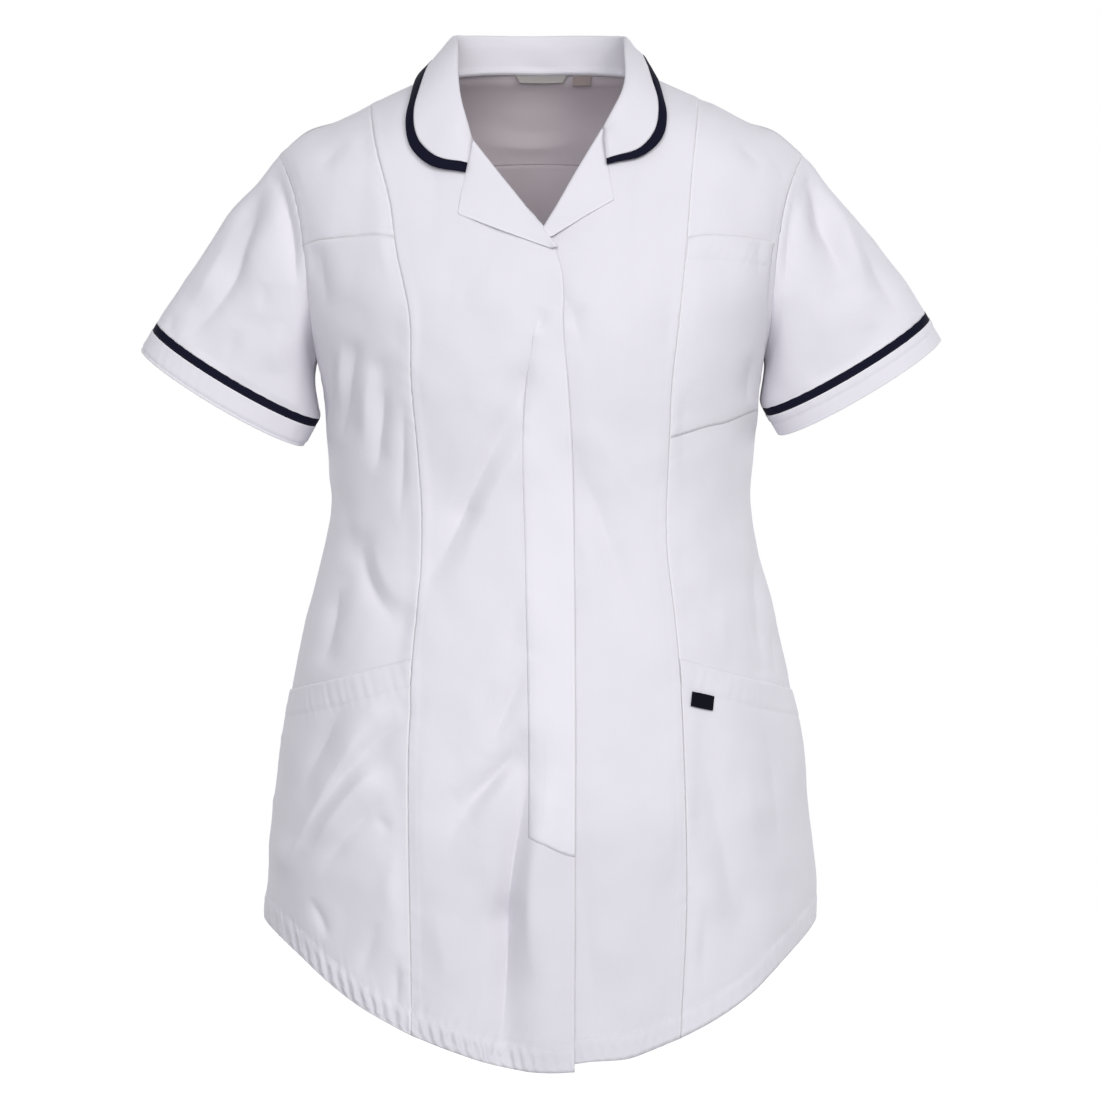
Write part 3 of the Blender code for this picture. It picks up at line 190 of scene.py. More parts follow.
# Folds, also those of the solids: start x and z, end x and z, height (a trough is minus) and
# half width
FRONT_FOLDS = metres((
    (-14, -232, -60, -330, -3, 12), (-60, -330, -86, -378, -2.4, 12),
    (26, -290, 70, -410, -1.6, 13), (-12, -440, -44, -515, -3, 13),
    (-14, -510, -60, -552, -2.4, 12), (-12, -530, -27, -640, -5, 12),
    (-27, -640, -29, -748, -6.2, 13), (4, -560, 2, -735, 4, 16),
    (-130, -490, -198, -600, 4.2, 14), (-108, -485, -186, -585, -3.6, 12),
    (-134, -540, -178, -592, 2.8, 10), (-142, -355, -110, -412, -3, 12),
    (-156, -385, -168, -440, -2.4, 10), (-150, -205, -148, -262, -2.2, 9),
    (-126, -220, -126, -285, -2.2, 9), (170, -355, 174, -450, -2.4, 9),
    (120, -480, 150, -640, -1.6, 14),
))
BACK_FOLDS = metres((
    (-120, -300, -30, -350, -3, 14), (125, -290, 35, -345, -3.2, 14),
    (-70, -520, -85, -690, -4.2, 18), (60, -500, 78, -700, -4.6, 18),
    (-5, -480, 6, -720, 3.6, 22), (-150, -130, -120, -240, -2.8, 14),
    (150, -125, 122, -250, -2.6, 14),
))
SLEEVE_FOLDS_RIGHT = metres((
    (-236, -84, -282, -180, -4.8, 16), (-262, -150, -262, -205, 3, 16),
))
SLEEVE_FOLDS_LEFT = metres((
    (214, -60, 240, -150, -4.8, 16), (252, -110, 262, -190, 3, 16),
))
FOLD_FADE = 0.35         # share of a quarter turn over which folds fade into the side seams
SLEEVE_FOLD_FADE = 0.020     # depth over which the sleeves' folds fade toward their edges

# Sleeves: cuff ring on the wearer's right, from its underarm corner to its outer corner
CUFF_INNER = (0.1904, -0.2760)
CUFF_OUTER = (0.3190, -0.1995)
CUFF_LIFT = 0.0085       # the wearer's left cuff is this much higher
CUFF_HALF_DEPTH = 0.042
CUFF_BOW = 0.0090        # how much lower the front of the cuff hangs than its corners
BAND_WIDTH = 0.0185
TRIM_WIDTH = 0.0068
TIP_HEADING = (0.66, -0.75)
UNDERARM_HEADING = (0.40, -0.92)
UNDERARM_EASE = 0.35     # how softly the underarm of a sleeve turns into the cuff
SLEEVE_ROWS, BAND_ROWS, TRIM_ROWS = 84, 16, 6

# Collar, half of it from the gorge to the middle of the back: share of the way along the neck
# seam, rise of the crest from the seam as (outward, y, z), edge as (x, z), both in metres, and
# how its edge's drop counts: -1 in front of the ridge, 0 on it, 1 behind it
COLLAR = (
    (0.00, (0.0000, -0.0045, 0.0010), (0.0570, -0.0625), -1),
    (0.10, (-0.0035, -0.0065, 0.0035), (0.0830, -0.0560), -1),
    (0.18, (-0.0055, -0.0060, 0.0063), (0.0975, -0.0420), -1),
    (0.26, (-0.0070, -0.0060, 0.0090), (0.1010, -0.0240), -1),
    (0.34, (-0.0083, -0.0058, 0.0120), (0.0975, -0.0060), -1),
    (0.42, (-0.0090, -0.0050, 0.0170), (0.0935, 0.0090), -1),
    (0.51, (-0.0085, -0.0020, 0.0235), (0.0885, 0.0150), 0),
    (0.64, (-0.0030, 0.0040, 0.0295), (0.0870, 0.0040), 1),
    (0.80, (-0.0010, 0.0040, 0.0285), (0.0620, -0.0060), 1),
    (1.00, (0.0000, 0.0030, 0.0285), (0.0000, -0.0120), 1),
)
COLLAR_MIDDLE = -0.0036  # the collar's edge sits this far to the wearer's right
COLLAR_TILT = (0.42, 0.06)   # share of the neck seam where the edge stops tilting, and its slope
COLLAR_STEPS = 160       # how often the collar is evened out along the neck at the back
COLLAR_RISE = 0.0036     # what that takes off its height there
CREST_STEPS = 6          # how often it is evened out over its crest
COLLAR_WALL, TRIM_WALL = 0.0011, 0.0012        # thickness of its cloth and of its edge's
TRIM_SPLIT = 0.04        # cells that the white and the navy cloth each leave between them
COLLAR_END = 0.0022      # how far its ends reach past the gorge
COLLAR_AIR = 0.0005      # air between the neck seam and the foot of the collar
FALL_CLEARANCE = 0.0026  # the collar's air above the body
FALL_ROUND = 0.09        # how full the collar's fall is where it turns over, for its length
FALL_LIFT = 0.005        # how much it arches before it lands
FALL_START = 0.25        # share of the fall's width that leads its turn over
FALL_LANDING = 0.35      # share of it that leads its landing
RIM_WALLS = 1.5          # how many walls above the neck seam the collar leaves it
STAND_CELLS, FALL_CELLS = 12, 30

# Width of the collar's navy edge in metres, by share of the way from the wearer's right end
TRIM_WIDTHS = (
    (0.00, 0.0078), (0.12, 0.0090), (0.24, 0.0125), (0.40, 0.0080), (0.60, 0.0080),
    (0.76, 0.0140), (0.86, 0.0110), (0.93, 0.0064), (1.00, 0.0044),
)

# Lapels: the outer edge as (x, z), from the gorge round the corner to the fold
LAPEL_RIGHT = metres((
    (-59.3, -67), (-64.5, -99.4), (-30, -112.8), (8, -126.2),
))
LAPEL_LEFT = metres((
    (51.5, -58.6), (56.8, -88), (33, -102), (10, -116.5),
))
LAPEL_CELLS = 28
LAPEL_LEFT_CELLS = 5 * FINE_CELLS + 5
LAPEL_ROLL = 6           # cells round a lapel's fold
LAPEL_PUFF = 0.0022      # how far a lapel stands off the front near its fold
LAPEL_AIR = 0.0006       # how far it stays off elsewhere, and off the collar
LAPEL_STANDS = 0.0013    # how far its outer edge stands off

POCKET_INSET = 0.0012    # from the princess seam to the chest pocket
CHEST_POCKET_INSET = (0.0120, 0.0030)          # from the side, at its foot and its mouth
PLACKET_FOOT_ROW, PLACKET_HEAD_ROW = 6 * FINE_ROWS, 25 * FINE_ROWS
PLACKET_SLANT = FINE_ROWS * 0.55               # how many rows its foot slants over
TAB = (0.125, -0.478, 0.0192, 0.0115, 12.0)    # middle x, z, length, height, tilt in degrees
TAB_AIR = 0.0011         # air behind the tab
LABEL_AIR = 0.0012       # air behind a label's lower edge
LABEL_TOP = 0.0008       # from the neck seam to a label
BINDING_WALL = 0.0003    # thickness of the neck binding

# Labels: name, look, slot, from and to yoke column, height in metres, slant of the ends
LABELS = (
    ("neck_label", "label", "cream label", 9.0, 11.0, 0.0098, 0.35),
    ("size_label", "size label", "beige label", 11.2, 11.95, 0.0145, 0.0),
)
LABEL_ROWS, LABEL_CELLS = 12, 24

# Creases placed one by one: height (a trough is minus), half width, how crisp it is, from 1.2 for
# a crisp crease to 2 for a soft one, and its path as x, z, x, z and so on. Those of the fronts:
FRONT_CREASES = (
    (-3, 7, 1.5, -10, -500, -30, -527, -52, -553, -72, -582),
    (-2.4, 6, 1.4, -14, -237, -36, -281, -61, -332, -77, -368, -88, -382),
    (1.6, 9, 1.8, 0, -246, -24, -292, -49, -341, -66, -384),
    (-2.2, 6.5, 1.5, -10, -446, -24, -478, -41, -515), (-1.2, 6, 1.6, -37, -458, -42, -500),
    (-2.2, 5.5, 1.4, -12, -511, -38, -536, -59, -553),
    (1.4, 7, 1.8, -11, -525, -33, -548, -52, -568),
    (-1.4, 8, 1.8, -14, -394, -22, -430, -31, -465),
    (-4.6, 5.6, 1.3, -11, -533, -12, -554, -21, -596, -26, -637, -25, -665, -28, -706, -30, -746),
    (3, 8.5, 1.7, -2, -560, -8, -610, -10, -655, -4, -690),
    (-1.2, 10, 1.8, -46, -600, -48, -670, -52, -725), (-1, 11, 2, -66, -540, -70, -600),
    (1, 10, 2, -82, -630, -70, -700), (-1.2, 4, 1.5, 19, -188, 37, -170),
    (-1, 6, 1.7, 10, -150, 28, -180, 34, -215), (-1.8, 4, 1.4, 3, -172, -3, -193),
    (-1.6, 4.5, 1.5, -4, -196, -12, -232, -16, -262),
    (-1.5, 8, 1.8, 25, -292, 43, -320, 57, -371, 73, -410),
    (1, 10, 1.9, 34, -262, 62, -300, 82, -338), (-1, 12, 2, 40, -440, 52, -500, 60, -560),
    (1, 12, 2, 80, -500, 86, -570, 88, -640), (-1.6, 10, 1.8, 32, -600, 38, -670, 44, -735),
    (1.2, 10, 1.9, 64, -620, 62, -700), (-0.8, 12, 2, -75, -110, -70, -160, -74, -210),
    (0.8, 11, 2, -36, -130, -48, -180), (-0.8, 11, 2, 60, -120, 70, -175),
    (0.7, 9, 2, 90, -70, 82, -120), (-0.7, 9, 2, -86, -50, -80, -90),
)
# of the side fronts, below the arms, over the hips and on the hip pockets:
SIDE_CREASES = (
    (-2.4, 5, 1.5, -163, -200, -166, -225, -172, -262), (1.4, 5, 1.7, -156, -196, -158, -250),
    (-2.2, 4.8, 1.5, -145, -198, -150, -235, -157, -276), (1.2, 6, 1.8, -134, -215, -137, -280),
    (-2, 4.8, 1.5, -122, -232, -125, -262, -129, -300),
    (-1.6, 4.5, 1.5, -105, -240, -108, -285, -110, -340),
    (-1.2, 8, 1.9, -160, -300, -152, -340, -146, -372),
    (-2.6, 5.2, 1.5, -143, -356, -134, -391, -112, -416),
    (1.6, 6, 1.7, -133, -350, -122, -385, -105, -405),
    (-2, 4.8, 1.5, -157, -388, -162, -420, -169, -450),
    (2.8, 5.5, 1.4, -130, -492, -160, -536, -184, -580, -200, -612),
    (-3, 5.2, 1.4, -110, -487, -136, -516, -162, -544, -188, -590),
    (2.2, 4.8, 1.5, -126, -528, -152, -558, -180, -596),
    (-2, 6, 1.6, -118, -548, -150, -580, -172, -612),
    (-1.8, 6, 1.7, -150, -478, -176, -520, -190, -556), (-1.2, 4, 1.6, -128, -566, -114, -578),
    (-2, 4.2, 1.4, -180, -630, -164, -662), (-1.6, 6, 1.7, -124, -645, -140, -690),
    (1.2, 8, 1.9, -112, -590, -118, -650), (-1.6, 3.6, 1.5, -109, -672, -112, -712),
    (-1.6, 6, 1.7, -205, -510, -212, -560), (-1.8, 5, 1.6, 165, -205, 162, -245),
    (-1.2, 9, 1.9, 120, -290, 140, -330, 150, -360),
    (-2, 5, 1.5, 168, -355, 170, -400, 174, -452), (-1.6, 4.2, 1.5, 183, -420, 187, -462),
    (1, 9, 1.9, 140, -390, 146, -450), (-1.6, 7, 1.7, 176, -500, 184, -560, 186, -610),
    (-1.4, 9, 1.8, 124, -520, 140, -580, 150, -640), (1.2, 9, 1.9, 158, -530, 168, -600),
    (-1.2, 7, 1.8, 126, -630, 124, -700), (1, 7, 1.8, 195, -480, 202, -540),
    (-1, 6, 1.8, -180, -62, -150, -34), (-1, 6, 1.8, 178, -60, 150, -36),
    (-1.4, 6, 1.7, -176, -120, -168, -175), (-1, 6, 1.8, 172, -110, 168, -150),
)
# of the back, with soft drapes between the shoulder blades:
BACK_CREASES = (
    (-2.2, 7, 1.5, -130, -290, -80, -330, -30, -352),
    (1.4, 8, 1.8, -120, -318, -70, -356, -30, -372),
    (-2.4, 7, 1.5, 132, -280, 85, -322, 40, -346), (1.4, 8, 1.8, 120, -312, 75, -350, 36, -368),
    (-2, 6, 1.5, -150, -205, -128, -240, -110, -275),
    (-2, 6, 1.5, 152, -200, 126, -240, 112, -270), (-3, 9, 1.5, -60, -490, -76, -580, -84, -700),
    (2, 11, 1.8, -40, -520, -52, -610, -58, -716), (-3.2, 9, 1.5, 52, -470, 68, -580, 78, -706),
    (2, 11, 1.8, 30, -500, 40, -610, 46, -712), (-2, 8, 1.7, 0, -560, 6, -650, 4, -732),
    (-2, 8, 1.7, -120, -540, -132, -620, -136, -690),
    (-1.8, 8, 1.7, 114, -530, 130, -620, 136, -690),
    (-1.6, 7, 1.7, -165, -420, -172, -480, -182, -560),
    (-1.6, 7, 1.7, 166, -410, 176, -490, 184, -570),
    (-1.6, 8, 1.7, -140, -110, -126, -170, -118, -220),
    (-1.6, 8, 1.7, 142, -105, 126, -165, 116, -225), (-1, 12, 2, -60, -80, -52, -150, -48, -220),
    (-1, 12, 2, 58, -75, 50, -150, 44, -215), (-1.2, 6, 1.7, -30, -110, 4, -118, 36, -108),
    (-0.8, 6, 1.8, -20, -136, 14, -142), (-1.4, 9, 1.8, -90, -400, -60, -440, -30, -460),
    (-1.4, 9, 1.8, 94, -396, 62, -436, 34, -452),
)
# of the yoke, inside and outside the neck:
YOKE_CREASES = (
    (-2.6, 6, 1.7, -52, -26, -20, -31, 10, -30, 34, -24),
    (1.6, 6, 1.8, -40, -16, -4, -19, 22, -17), (-1.2, 4, 1.6, -36, -44, 4, -47, 30, -43),
    (-0.6, 6, 1.9, -60, 0, -20, -6, 30, -2), (-1, 8, 1.8, -170, -50, -130, -20),
    (-1, 8, 1.8, 168, -50, 128, -18),
)
# and of the sleeves, on both faces:
SLEEVE_CREASES_RIGHT = (
    (-4.4, 8.5, 1.6, -221, -68, -234, -112, -248, -150, -267, -176, -282, -194),
    (2.4, 8.5, 1.8, -236, -90, -260, -140, -286, -180),
    (-3.6, 6, 1.5, -212, -50, -204, -80, -196, -110, -193, -150),
    (-1, 8, 1.8, -217, -148, -221, -174), (1, 8, 1.8, -208, -180, -212, -220),
    (-1.2, 5, 1.6, -292, -170, -298, -196), (-0.8, 7, 1.8, -240, -185, -250, -215),
)
SLEEVE_CREASES_LEFT = (
    (-5.2, 8, 1.5, 209, -56, 221, -82, 229, -114, 241, -146),
    (2.6, 8.5, 1.8, 226, -60, 244, -110, 262, -156),
    (-2.6, 8, 1.7, 246, -96, 268, -140, 286, -176), (-3, 6, 1.6, 205, -56, 196, -100, 192, -160),
    (1, 8, 1.8, 214, -150, 222, -196), (-0.8, 7, 1.8, 262, -180, 270, -204),
)

# Seams, hems and stitches, in metres
CREASE_SPREAD = 1.15     # how much wider than their half width creases spread
CALM = 0.014             # how far from a seam creases reach their full height
TOP_CALM = 0.05          # and how far below the top of a centre front
SEAM_GROOVE, SEAM_HALF = 0.00024, 0.0011       # depth and half width of a seam's groove
PUCKER_REACH = 0.011     # how far a seam's puckers reach
ALLOWANCE = 0.0075       # width of a seam's turned edges under the cloth
EDGE_SLOPE = 0.0014      # width of the step over a turned edge
HEM_BAND = 0.0190        # from a hem to its line of stitches
HEM_RAISE = 0.0005       # how much thicker a turned hem is
HEM_GROOVE, HEM_GROOVE_HALF = 0.00045, 0.0012  # depth and half width along its stitches
CUFF_STITCH = {-1: 0.0160, 1: 0.0068}          # from a cuff's edge to its stitches, by side
MOUTH_BAND = 0.0215      # depth of the turned edge of a hip pocket's mouth
CHEST_BAND = MOUTH_BAND * 0.9                  # and of the chest pocket's
MOUTH_STANDS, CHEST_STANDS = 0.0007, 0.0010    # how far the mouths stand off the panel
POCKET_STITCH = 0.0016   # from a patch's edge to its stitches
PATCH_INSET = 0.0003     # from a seam to the edge of a patch that it holds
LAID = 0.0001            # air between a patch and the cloth that it lies on
SETTLE = 0.0034          # width over which a sewn-down edge sinks to that cloth
STITCH_DIP, MOUTH_DIP = 0.0003, 0.0002         # how deep stitches may pull down a patch or a mouth
TOP_STEPS = 30           # how often a front's top is evened out where creases start below it
EVEN_STEPS = 50          # how often a hem is evened out
EVEN_ROWS = 4 * FINE_ROWS
RELAX_STEPS = 90         # how often a front's rows are evened out below its top


def soft_step(t):
    """Nothing below 0, one above 1 and smooth between."""
    t = np.clip(t, 0, 1)
    return t * t * (3 - 2 * t)


def bell(way, width, power=2):
    """One at no distance, falling off smoothly over a width."""
    return np.exp(-(way / width) ** power)


def smooth(at, rows):
    """The smooth curve through (place, value) rows, read at one place or many."""
    place, value = np.array(rows, dtype=float).T
    slope = np.gradient(value, place)
    at = np.clip(at, place[0], place[-1])
    cell = np.clip(np.searchsorted(place, at, side="right") - 1, 0, len(place) - 2)
    span = place[cell + 1] - place[cell]
    t = (at - place[cell]) / span
    start = (1 + 2 * t) * (1 - t) ** 2 * value[cell] + t * (1 - t) ** 2 * span * slope[cell]
    end = t * t * (3 - 2 * t) * value[cell + 1] + t * t * (t - 1) * span * slope[cell + 1]
    return start + end


def unit(vectors):
    """Vectors scaled to a length of one."""
    return vectors / np.maximum(np.linalg.norm(vectors, axis=-1, keepdims=True), 1e-12)


def facing(out, toward):
    """Directions, turned round where they point away from others on the whole."""
    return -out if np.sum(out * toward) < 0 else out


def way_along(points):
    """The way along a line of points, from its start to each of them."""
    return np.concatenate([[0.0], np.cumsum(np.linalg.norm(np.diff(points, axis=0), axis=1))])


def even(rows):
    """Evens out the rows of a grid along themselves once, their ends kept."""
    rows[:, 1:-1] = (rows[:, :-2] + 2 * rows[:, 1:-1] + rows[:, 2:]) / 4


def split_at(line, places):
    """Entries of a line at fractional places."""
    places = np.array(places, dtype=float)
    low = np.clip(np.floor(places).astype(int), 0, len(line) - 2)
    t = (places - low).reshape((-1,) + (1,) * (line.ndim - 1))
    return line[low] * (1 - t) + line[low + 1] * t


def body_value(z, number):
    """A column of the body's sections at a height."""
    return smooth(z, np.array(BODY)[:, [0, number]])


def half_width(z):
    """Half the width of the body's inner face at a height."""
    return body_value(z, 1) - WALL


def squared_sine(turn):
    """The share of the half width at a turn."""
    return np.sign(np.sin(turn)) * np.abs(np.sin(turn)) ** SQUARENESS


def fall_of(drop):
    """Height lost below the ridge for a drop, a quarter round and then straight down."""
    bent = SHOULDER_ROUND * (1 - np.cos(HALF_PI * np.clip(drop, 0, 1)))
    return bent + SHOULDER_ROUND * HALF_PI * np.maximum(drop - 1, 0)


def drop_of(x, z):
    """The drop of a point, from how far it lies below the ridge."""
    fall = np.maximum(smooth(np.abs(x), RIDGE) - z, 0)
    bent = np.arccos(np.clip(1 - fall / SHOULDER_ROUND, -1, 1)) / HALF_PI
    return np.where(fall < SHOULDER_ROUND, bent, 1 + (fall / SHOULDER_ROUND - 1) / HALF_PI)


def turn_of(x, z, back=False):
    """The turn of a point on the front or the back, in radians."""
    share = np.clip(np.abs(x) / half_width(z), 0, 1) ** (1 / SQUARENESS)
    turn = np.sign(x) * np.arcsin(share)
    return np.where(turn >= 0, math.pi, -math.pi) - turn if back else turn


def place_of(x, z, back=False):
    """Turn and drop of a point."""
    return np.stack([turn_of(x, z, back), drop_of(x, z)], axis=-1)


def plain_body(places):
    """Points on the body's smooth surface, before its folds."""
    turn, drop = places[..., 0], places[..., 1]
    fall = fall_of(drop)
    z = -fall
    for _ in range(ROUNDS):
        x = squared_sine(turn) * half_width(z)
        z = smooth(np.abs(x), RIDGE) - fall
    ahead = np.cos(turn)
    depth = np.where(ahead > 0, -body_value(z, 2), body_value(z, 3)) * np.abs(ahead) ** SQUARENESS
    return np.stack([x, depth * np.sin(HALF_PI * np.clip(drop, 0, 1)), z], axis=-1)


def body_out(places):
    """Directions straight out of the body's smooth surface."""
    across, down = np.array([STEP, 0.0]), np.array([0.0, STEP])
    along_turn = plain_body(places + across) - plain_body(places - across)
    upper = plain_body(np.maximum(places - down, [-10.0, 0.0]))
    return unit(np.cross(plain_body(places + down) - upper, along_turn))


def fold_height(points, folds):
    """Height of a set of folds at points, each fading at its ends and to its sides."""
    total = np.zeros(points.shape[:-1])
    for x, z, end_x, end_z, height, half in folds:
        run = np.array([end_x - x, end_z - z])
        length = np.linalg.norm(run)
        away = points[..., [0, 2]] - np.array([x, z])
        along = away @ run / length
        aside = away @ np.array([-run[1], run[0]]) / length
        past = np.maximum(np.maximum(-along, along - length), 0)
        total += height * np.exp(-(aside ** 2 + past ** 2) / half ** 2)
    return total


def body(places):
    """Points of the cloth's inner face, with its folds, and the directions out of it."""
    points, out = plain_body(places), body_out(places)
    ahead = np.cos(places[..., 0]) / FOLD_FADE
    height = (np.clip(ahead, 0, 1) * fold_height(points, FRONT_FOLDS)
              + np.clip(-ahead, 0, 1) * fold_height(points, BACK_FOLDS))
    return points + out * height[..., None], out


def spread(start, end, cells):
    """Even steps from one place to another, both ends included."""
    t = np.linspace(0, 1, cells + 1)[:, None]
    return np.array(start) * (1 - t) + np.array(end) * t


def chain(*stretches):
    """Stretches that share their end points, as one line."""
    return np.concatenate([stretches[0]] + [stretch[1:] for stretch in stretches[1:]])


def patch(low, high, left, right):
    """A grid of places between four border lines of places, joined at their corners."""
    left[[0, -1]], right[[0, -1]] = (low[0], high[0]), (low[-1], high[-1])
    u = np.linspace(0, 1, len(low))[None, :, None]
    v = np.linspace(0, 1, len(left))[:, None, None]
    across = (1 - u) * left[:, None] + u * right[:, None]
    upward = (1 - v) * low[None] + v * high[None]
    corners = (1 - u) * (1 - v) * low[0] + u * (1 - v) * low[-1]
    corners = corners + (1 - u) * v * high[0] + u * v * high[-1]
    return across + upward - corners


def level_heights(levels_here, number, top):
    """Heights of all the rows on one border line, from the hem to a top height."""
    marks = [level[number] for level in levels_here] + [top]
    return chain(*(spread(low, high, level[1])
                   for low, high, level in zip(marks, marks[1:], levels_here)))[:, 0]


def rows_below(name, levels_here=LEVELS):
    """How many rows of cloth lie under a named level."""
    names = [level[0] for level in levels_here]
    return sum(level[1] for level in levels_here[:names.index(name)])


def border(number, side, line, top):
    """A seam or edge of a front as places: heights from the levels, reach from a line."""
    z = level_heights(LEVELS, number, top)
    places = place_of(side * smooth(z, line), z)
    start = rows_below(LEVELS[-1][0])
    for row, drop in enumerate(np.linspace(places[start, 1], places[-1, 1], len(z) - start), start):
        height = z[row]
        for _ in range(ROUNDS):
            height = smooth(np.abs(smooth(height, line)), RIDGE) - fall_of(drop)
        places[row] = place_of(side * smooth(height, line), height)
    return places


def side_border(side, back=False):
    """The side seam and, above the underarm, the armhole."""
    if back:
        z = level_heights(BACK_LEVELS[:-1], 3, BACK_LEVELS[-1][3])
    else:
        z = level_heights(LEVELS, SIDE_COLUMN, smooth(SHOULDER_TIP, RIDGE))
    seam = slice(rows_below("underarm", BACK_LEVELS if back else LEVELS) + 1)
    places = place_of(side * smooth(z, ARMHOLE), z, back)
    places[seam, 0] = side * HALF_PI
    places[seam, 1] = drop_of(half_width(z[seam]), z[seam])
    return places


def hem_places(start_turn, end_turn, cells, hem):
    """Places on a hem between two turns, the front one off centre."""
    turn = np.linspace(start_turn, end_turn, cells + 1)
    middle = HEM_MIDDLE if hem is FRONT_HEM else 0.0
    z = np.full(turn.shape, BODY[1][0])
    for _ in range(ROUNDS):
        x = squared_sine(turn) * half_width(z)
        z = smooth(np.abs(x - middle * (1 - (x / hem[-1][0]) ** 2)), hem)
    return np.stack([turn, drop_of(squared_sine(turn) * half_width(z), z)], axis=-1)


def ridge_places(x, back=False):
    """Places on the shoulder ridge at distances from the middle."""
    places = place_of(x, smooth(np.abs(x), RIDGE), back)
    places[:, 1] = 0.0
    return places


def front_top(side, line, break_point):
    """The top of a centre front: its shoulder, its neck and its fold down to the break."""
    x = np.linspace(side * line[-1][1], side * NECK_POINT[0], SHOULDER_CELLS + 1)
    shoulder = ridge_places(x)
    gorge_x = side * GORGE[0]
    gorge = (gorge_x + NECK_MIDDLE, GORGE[1] + NECK_TILT * gorge_x)
    marks = np.array([(0.0, *NECK_POINT), (0.5, *NECK_SIDE), (1.0, abs(gorge[0]), gorge[1])])
    share = np.linspace(0, 1, NECK_CELLS + 1)
    neck = place_of(side * smooth(share, marks[:, [0, 1]]), smooth(share, marks[:, [0, 2]]))
    neck[0] = shoulder[-1]
    fold = spread(gorge, break_point, ROLL_CELLS + LAP_CELLS)
    return shoulder, neck, place_of(fold[:, 0], fold[:, 1])


def princess_seam(side):
    """The line of a princess seam, and its places."""
    line = PRINCESS_RIGHT if side < 0 else PRINCESS_LEFT
    return line, border(PRINCESS_COLUMN, side, line, line[-1][0])


@functools.lru_cache(maxsize=None)
def centre_front(side):
    """Places of a centre front and how far each point lies inside the body's surface."""
    line, seam = princess_seam(side)
    shoulder, neck, fold = front_top(side, line, RIGHT_BREAK if side < 0 else LEFT_BREAK)
    near, far = (STITCH_LINE, FRONT_EDGE) if side < 0 else (FRONT_EDGE, STITCH_LINE)
    near_line = border(EDGE_COLUMN, 1, near, plain_body(fold[ROLL_CELLS])[2])
    far_line = border(EDGE_COLUMN, 1, far, plain_body(fold[-1])[2])
    low = hem_places(seam[0, 0], near_line[0, 0], CENTRE_CELLS, FRONT_HEM)
    main = patch(low, chain(shoulder, neck, fold[:ROLL_CELLS + 1]), seam, near_line)
    low = hem_places(near_line[0, 0], far_line[0, 0], LAP_CELLS, FRONT_HEM)
    lap = patch(low, fold[ROLL_CELLS:], near_line, far_line)
    for step in range(RELAX_STEPS):
        even(main[:len(main) - 1 - step])
    places = np.concatenate([main, lap[:, 1:]], axis=1)
    inside = np.zeros(places.shape[:2])
    if side > 0:
        rows = np.linspace(0, 1, len(places))
        start = rows[rows_below("chest pocket mouth")]
        amount = LAP_DROP + (LAP_DROP_TOP - LAP_DROP) * np.clip((rows - start) / (1 - start), 0, 1)
        cells = np.arange(places.shape[1]) - (CENTRE_CELLS - 2 * FINE_CELLS)
        inside = amount[:, None] * np.clip(cells / (2 * FINE_CELLS), 0, 1) ** 1.5
        rise = UNDERLAP_RISE / (SHOULDER_ROUND * HALF_PI)
        rise = rise * soft_step(cells / (5 * FINE_CELLS) + 0.8)
        places[:FINE_ROWS, :, 1] -= rise * (1 - np.arange(FINE_ROWS) / FINE_ROWS)[:, None]
    return places, inside


def evened(places):
    """A grid whose rows are evened out along themselves, fully at the hem and less above."""
    for step in range(EVEN_STEPS):
        even(places[:max(int(EVEN_ROWS * (1 - step / EVEN_STEPS)), 1)])
    return places


def side_front(side):
    """Places of a side front, from the princess seam to the side seam and armhole."""
    line, seam = princess_seam(side)
    top = ridge_places(np.linspace(side * line[-1][1], side * SHOULDER_TIP, SIDE_CELLS + 1))
    low = hem_places(seam[0, 0], side * HALF_PI, SIDE_CELLS, FRONT_HEM)
    return patch(low, top, seam, side_border(side))


def back_columns():
    """Distances from the middle of the columns along the shoulders and the back neck."""
    right = [-x for x in SHOULDER_COLUMNS + NECK_COLUMNS[1:]]
    cells = np.arange((len(right) - 1) * FINE_CELLS + 1) / FINE_CELLS
    right = np.interp(cells, np.arange(len(right)), right)
    return np.concatenate([right, -right[-2::-1]])


def unwrapped(places):
    """Places on the back with their turn counted past 180 from the wearer's right."""
    wrapped = places.copy()
    wrapped[..., 0] = np.where(places[..., 0] > 0, places[..., 0] - 2 * math.pi, places[..., 0])
    return wrapped


def yoke_seam():
    """The seam across the back, from the wearer's right to the left, as places."""
    middle, outer = BACK_LEVELS[-1][2:]
    outer_x = smooth(outer, ARMHOLE)
    x = back_columns() / SHOULDER_TIP * outer_x
    z = middle + (outer - middle) * (np.abs(x) / outer_x) ** YOKE_DIP
    return unwrapped(place_of(x, z, back=True))


def back_places():
    """Places of the back panel."""
    high = yoke_seam()
    low = hem_places(-HALF_PI, -3 * HALF_PI, len(high) - 1, BACK_HEM)
    return patch(low, high, *(unwrapped(side_border(side, back=True)) for side in (-1, 1)))


def yoke_places():
    """Places of the back yoke, from its seam up to the shoulders and the neck."""
    x = back_columns()
    top = unwrapped(place_of(x, smooth(np.abs(x), BACK_NECK), back=True))
    on_shoulder = np.abs(x) >= NECK_POINT[0] - 1e-6
    top[on_shoulder] = unwrapped(ridge_places(x[on_shoulder], back=True))
    z = np.linspace(BACK_LEVELS[-1][3], smooth(SHOULDER_TIP, RIDGE), BACK_LEVELS[-1][1] + 1)
    ends = (unwrapped(place_of(side * smooth(z, ARMHOLE), z, back=True)) for side in (-1, 1))
    return patch(yoke_seam(), top, *ends)


def cuff_axis(side):
    """The direction of the arm, down the sleeve."""
    run = unit(np.subtract(CUFF_OUTER, CUFF_INNER))
    return np.array([side * run[1], 0.0, -run[0]])


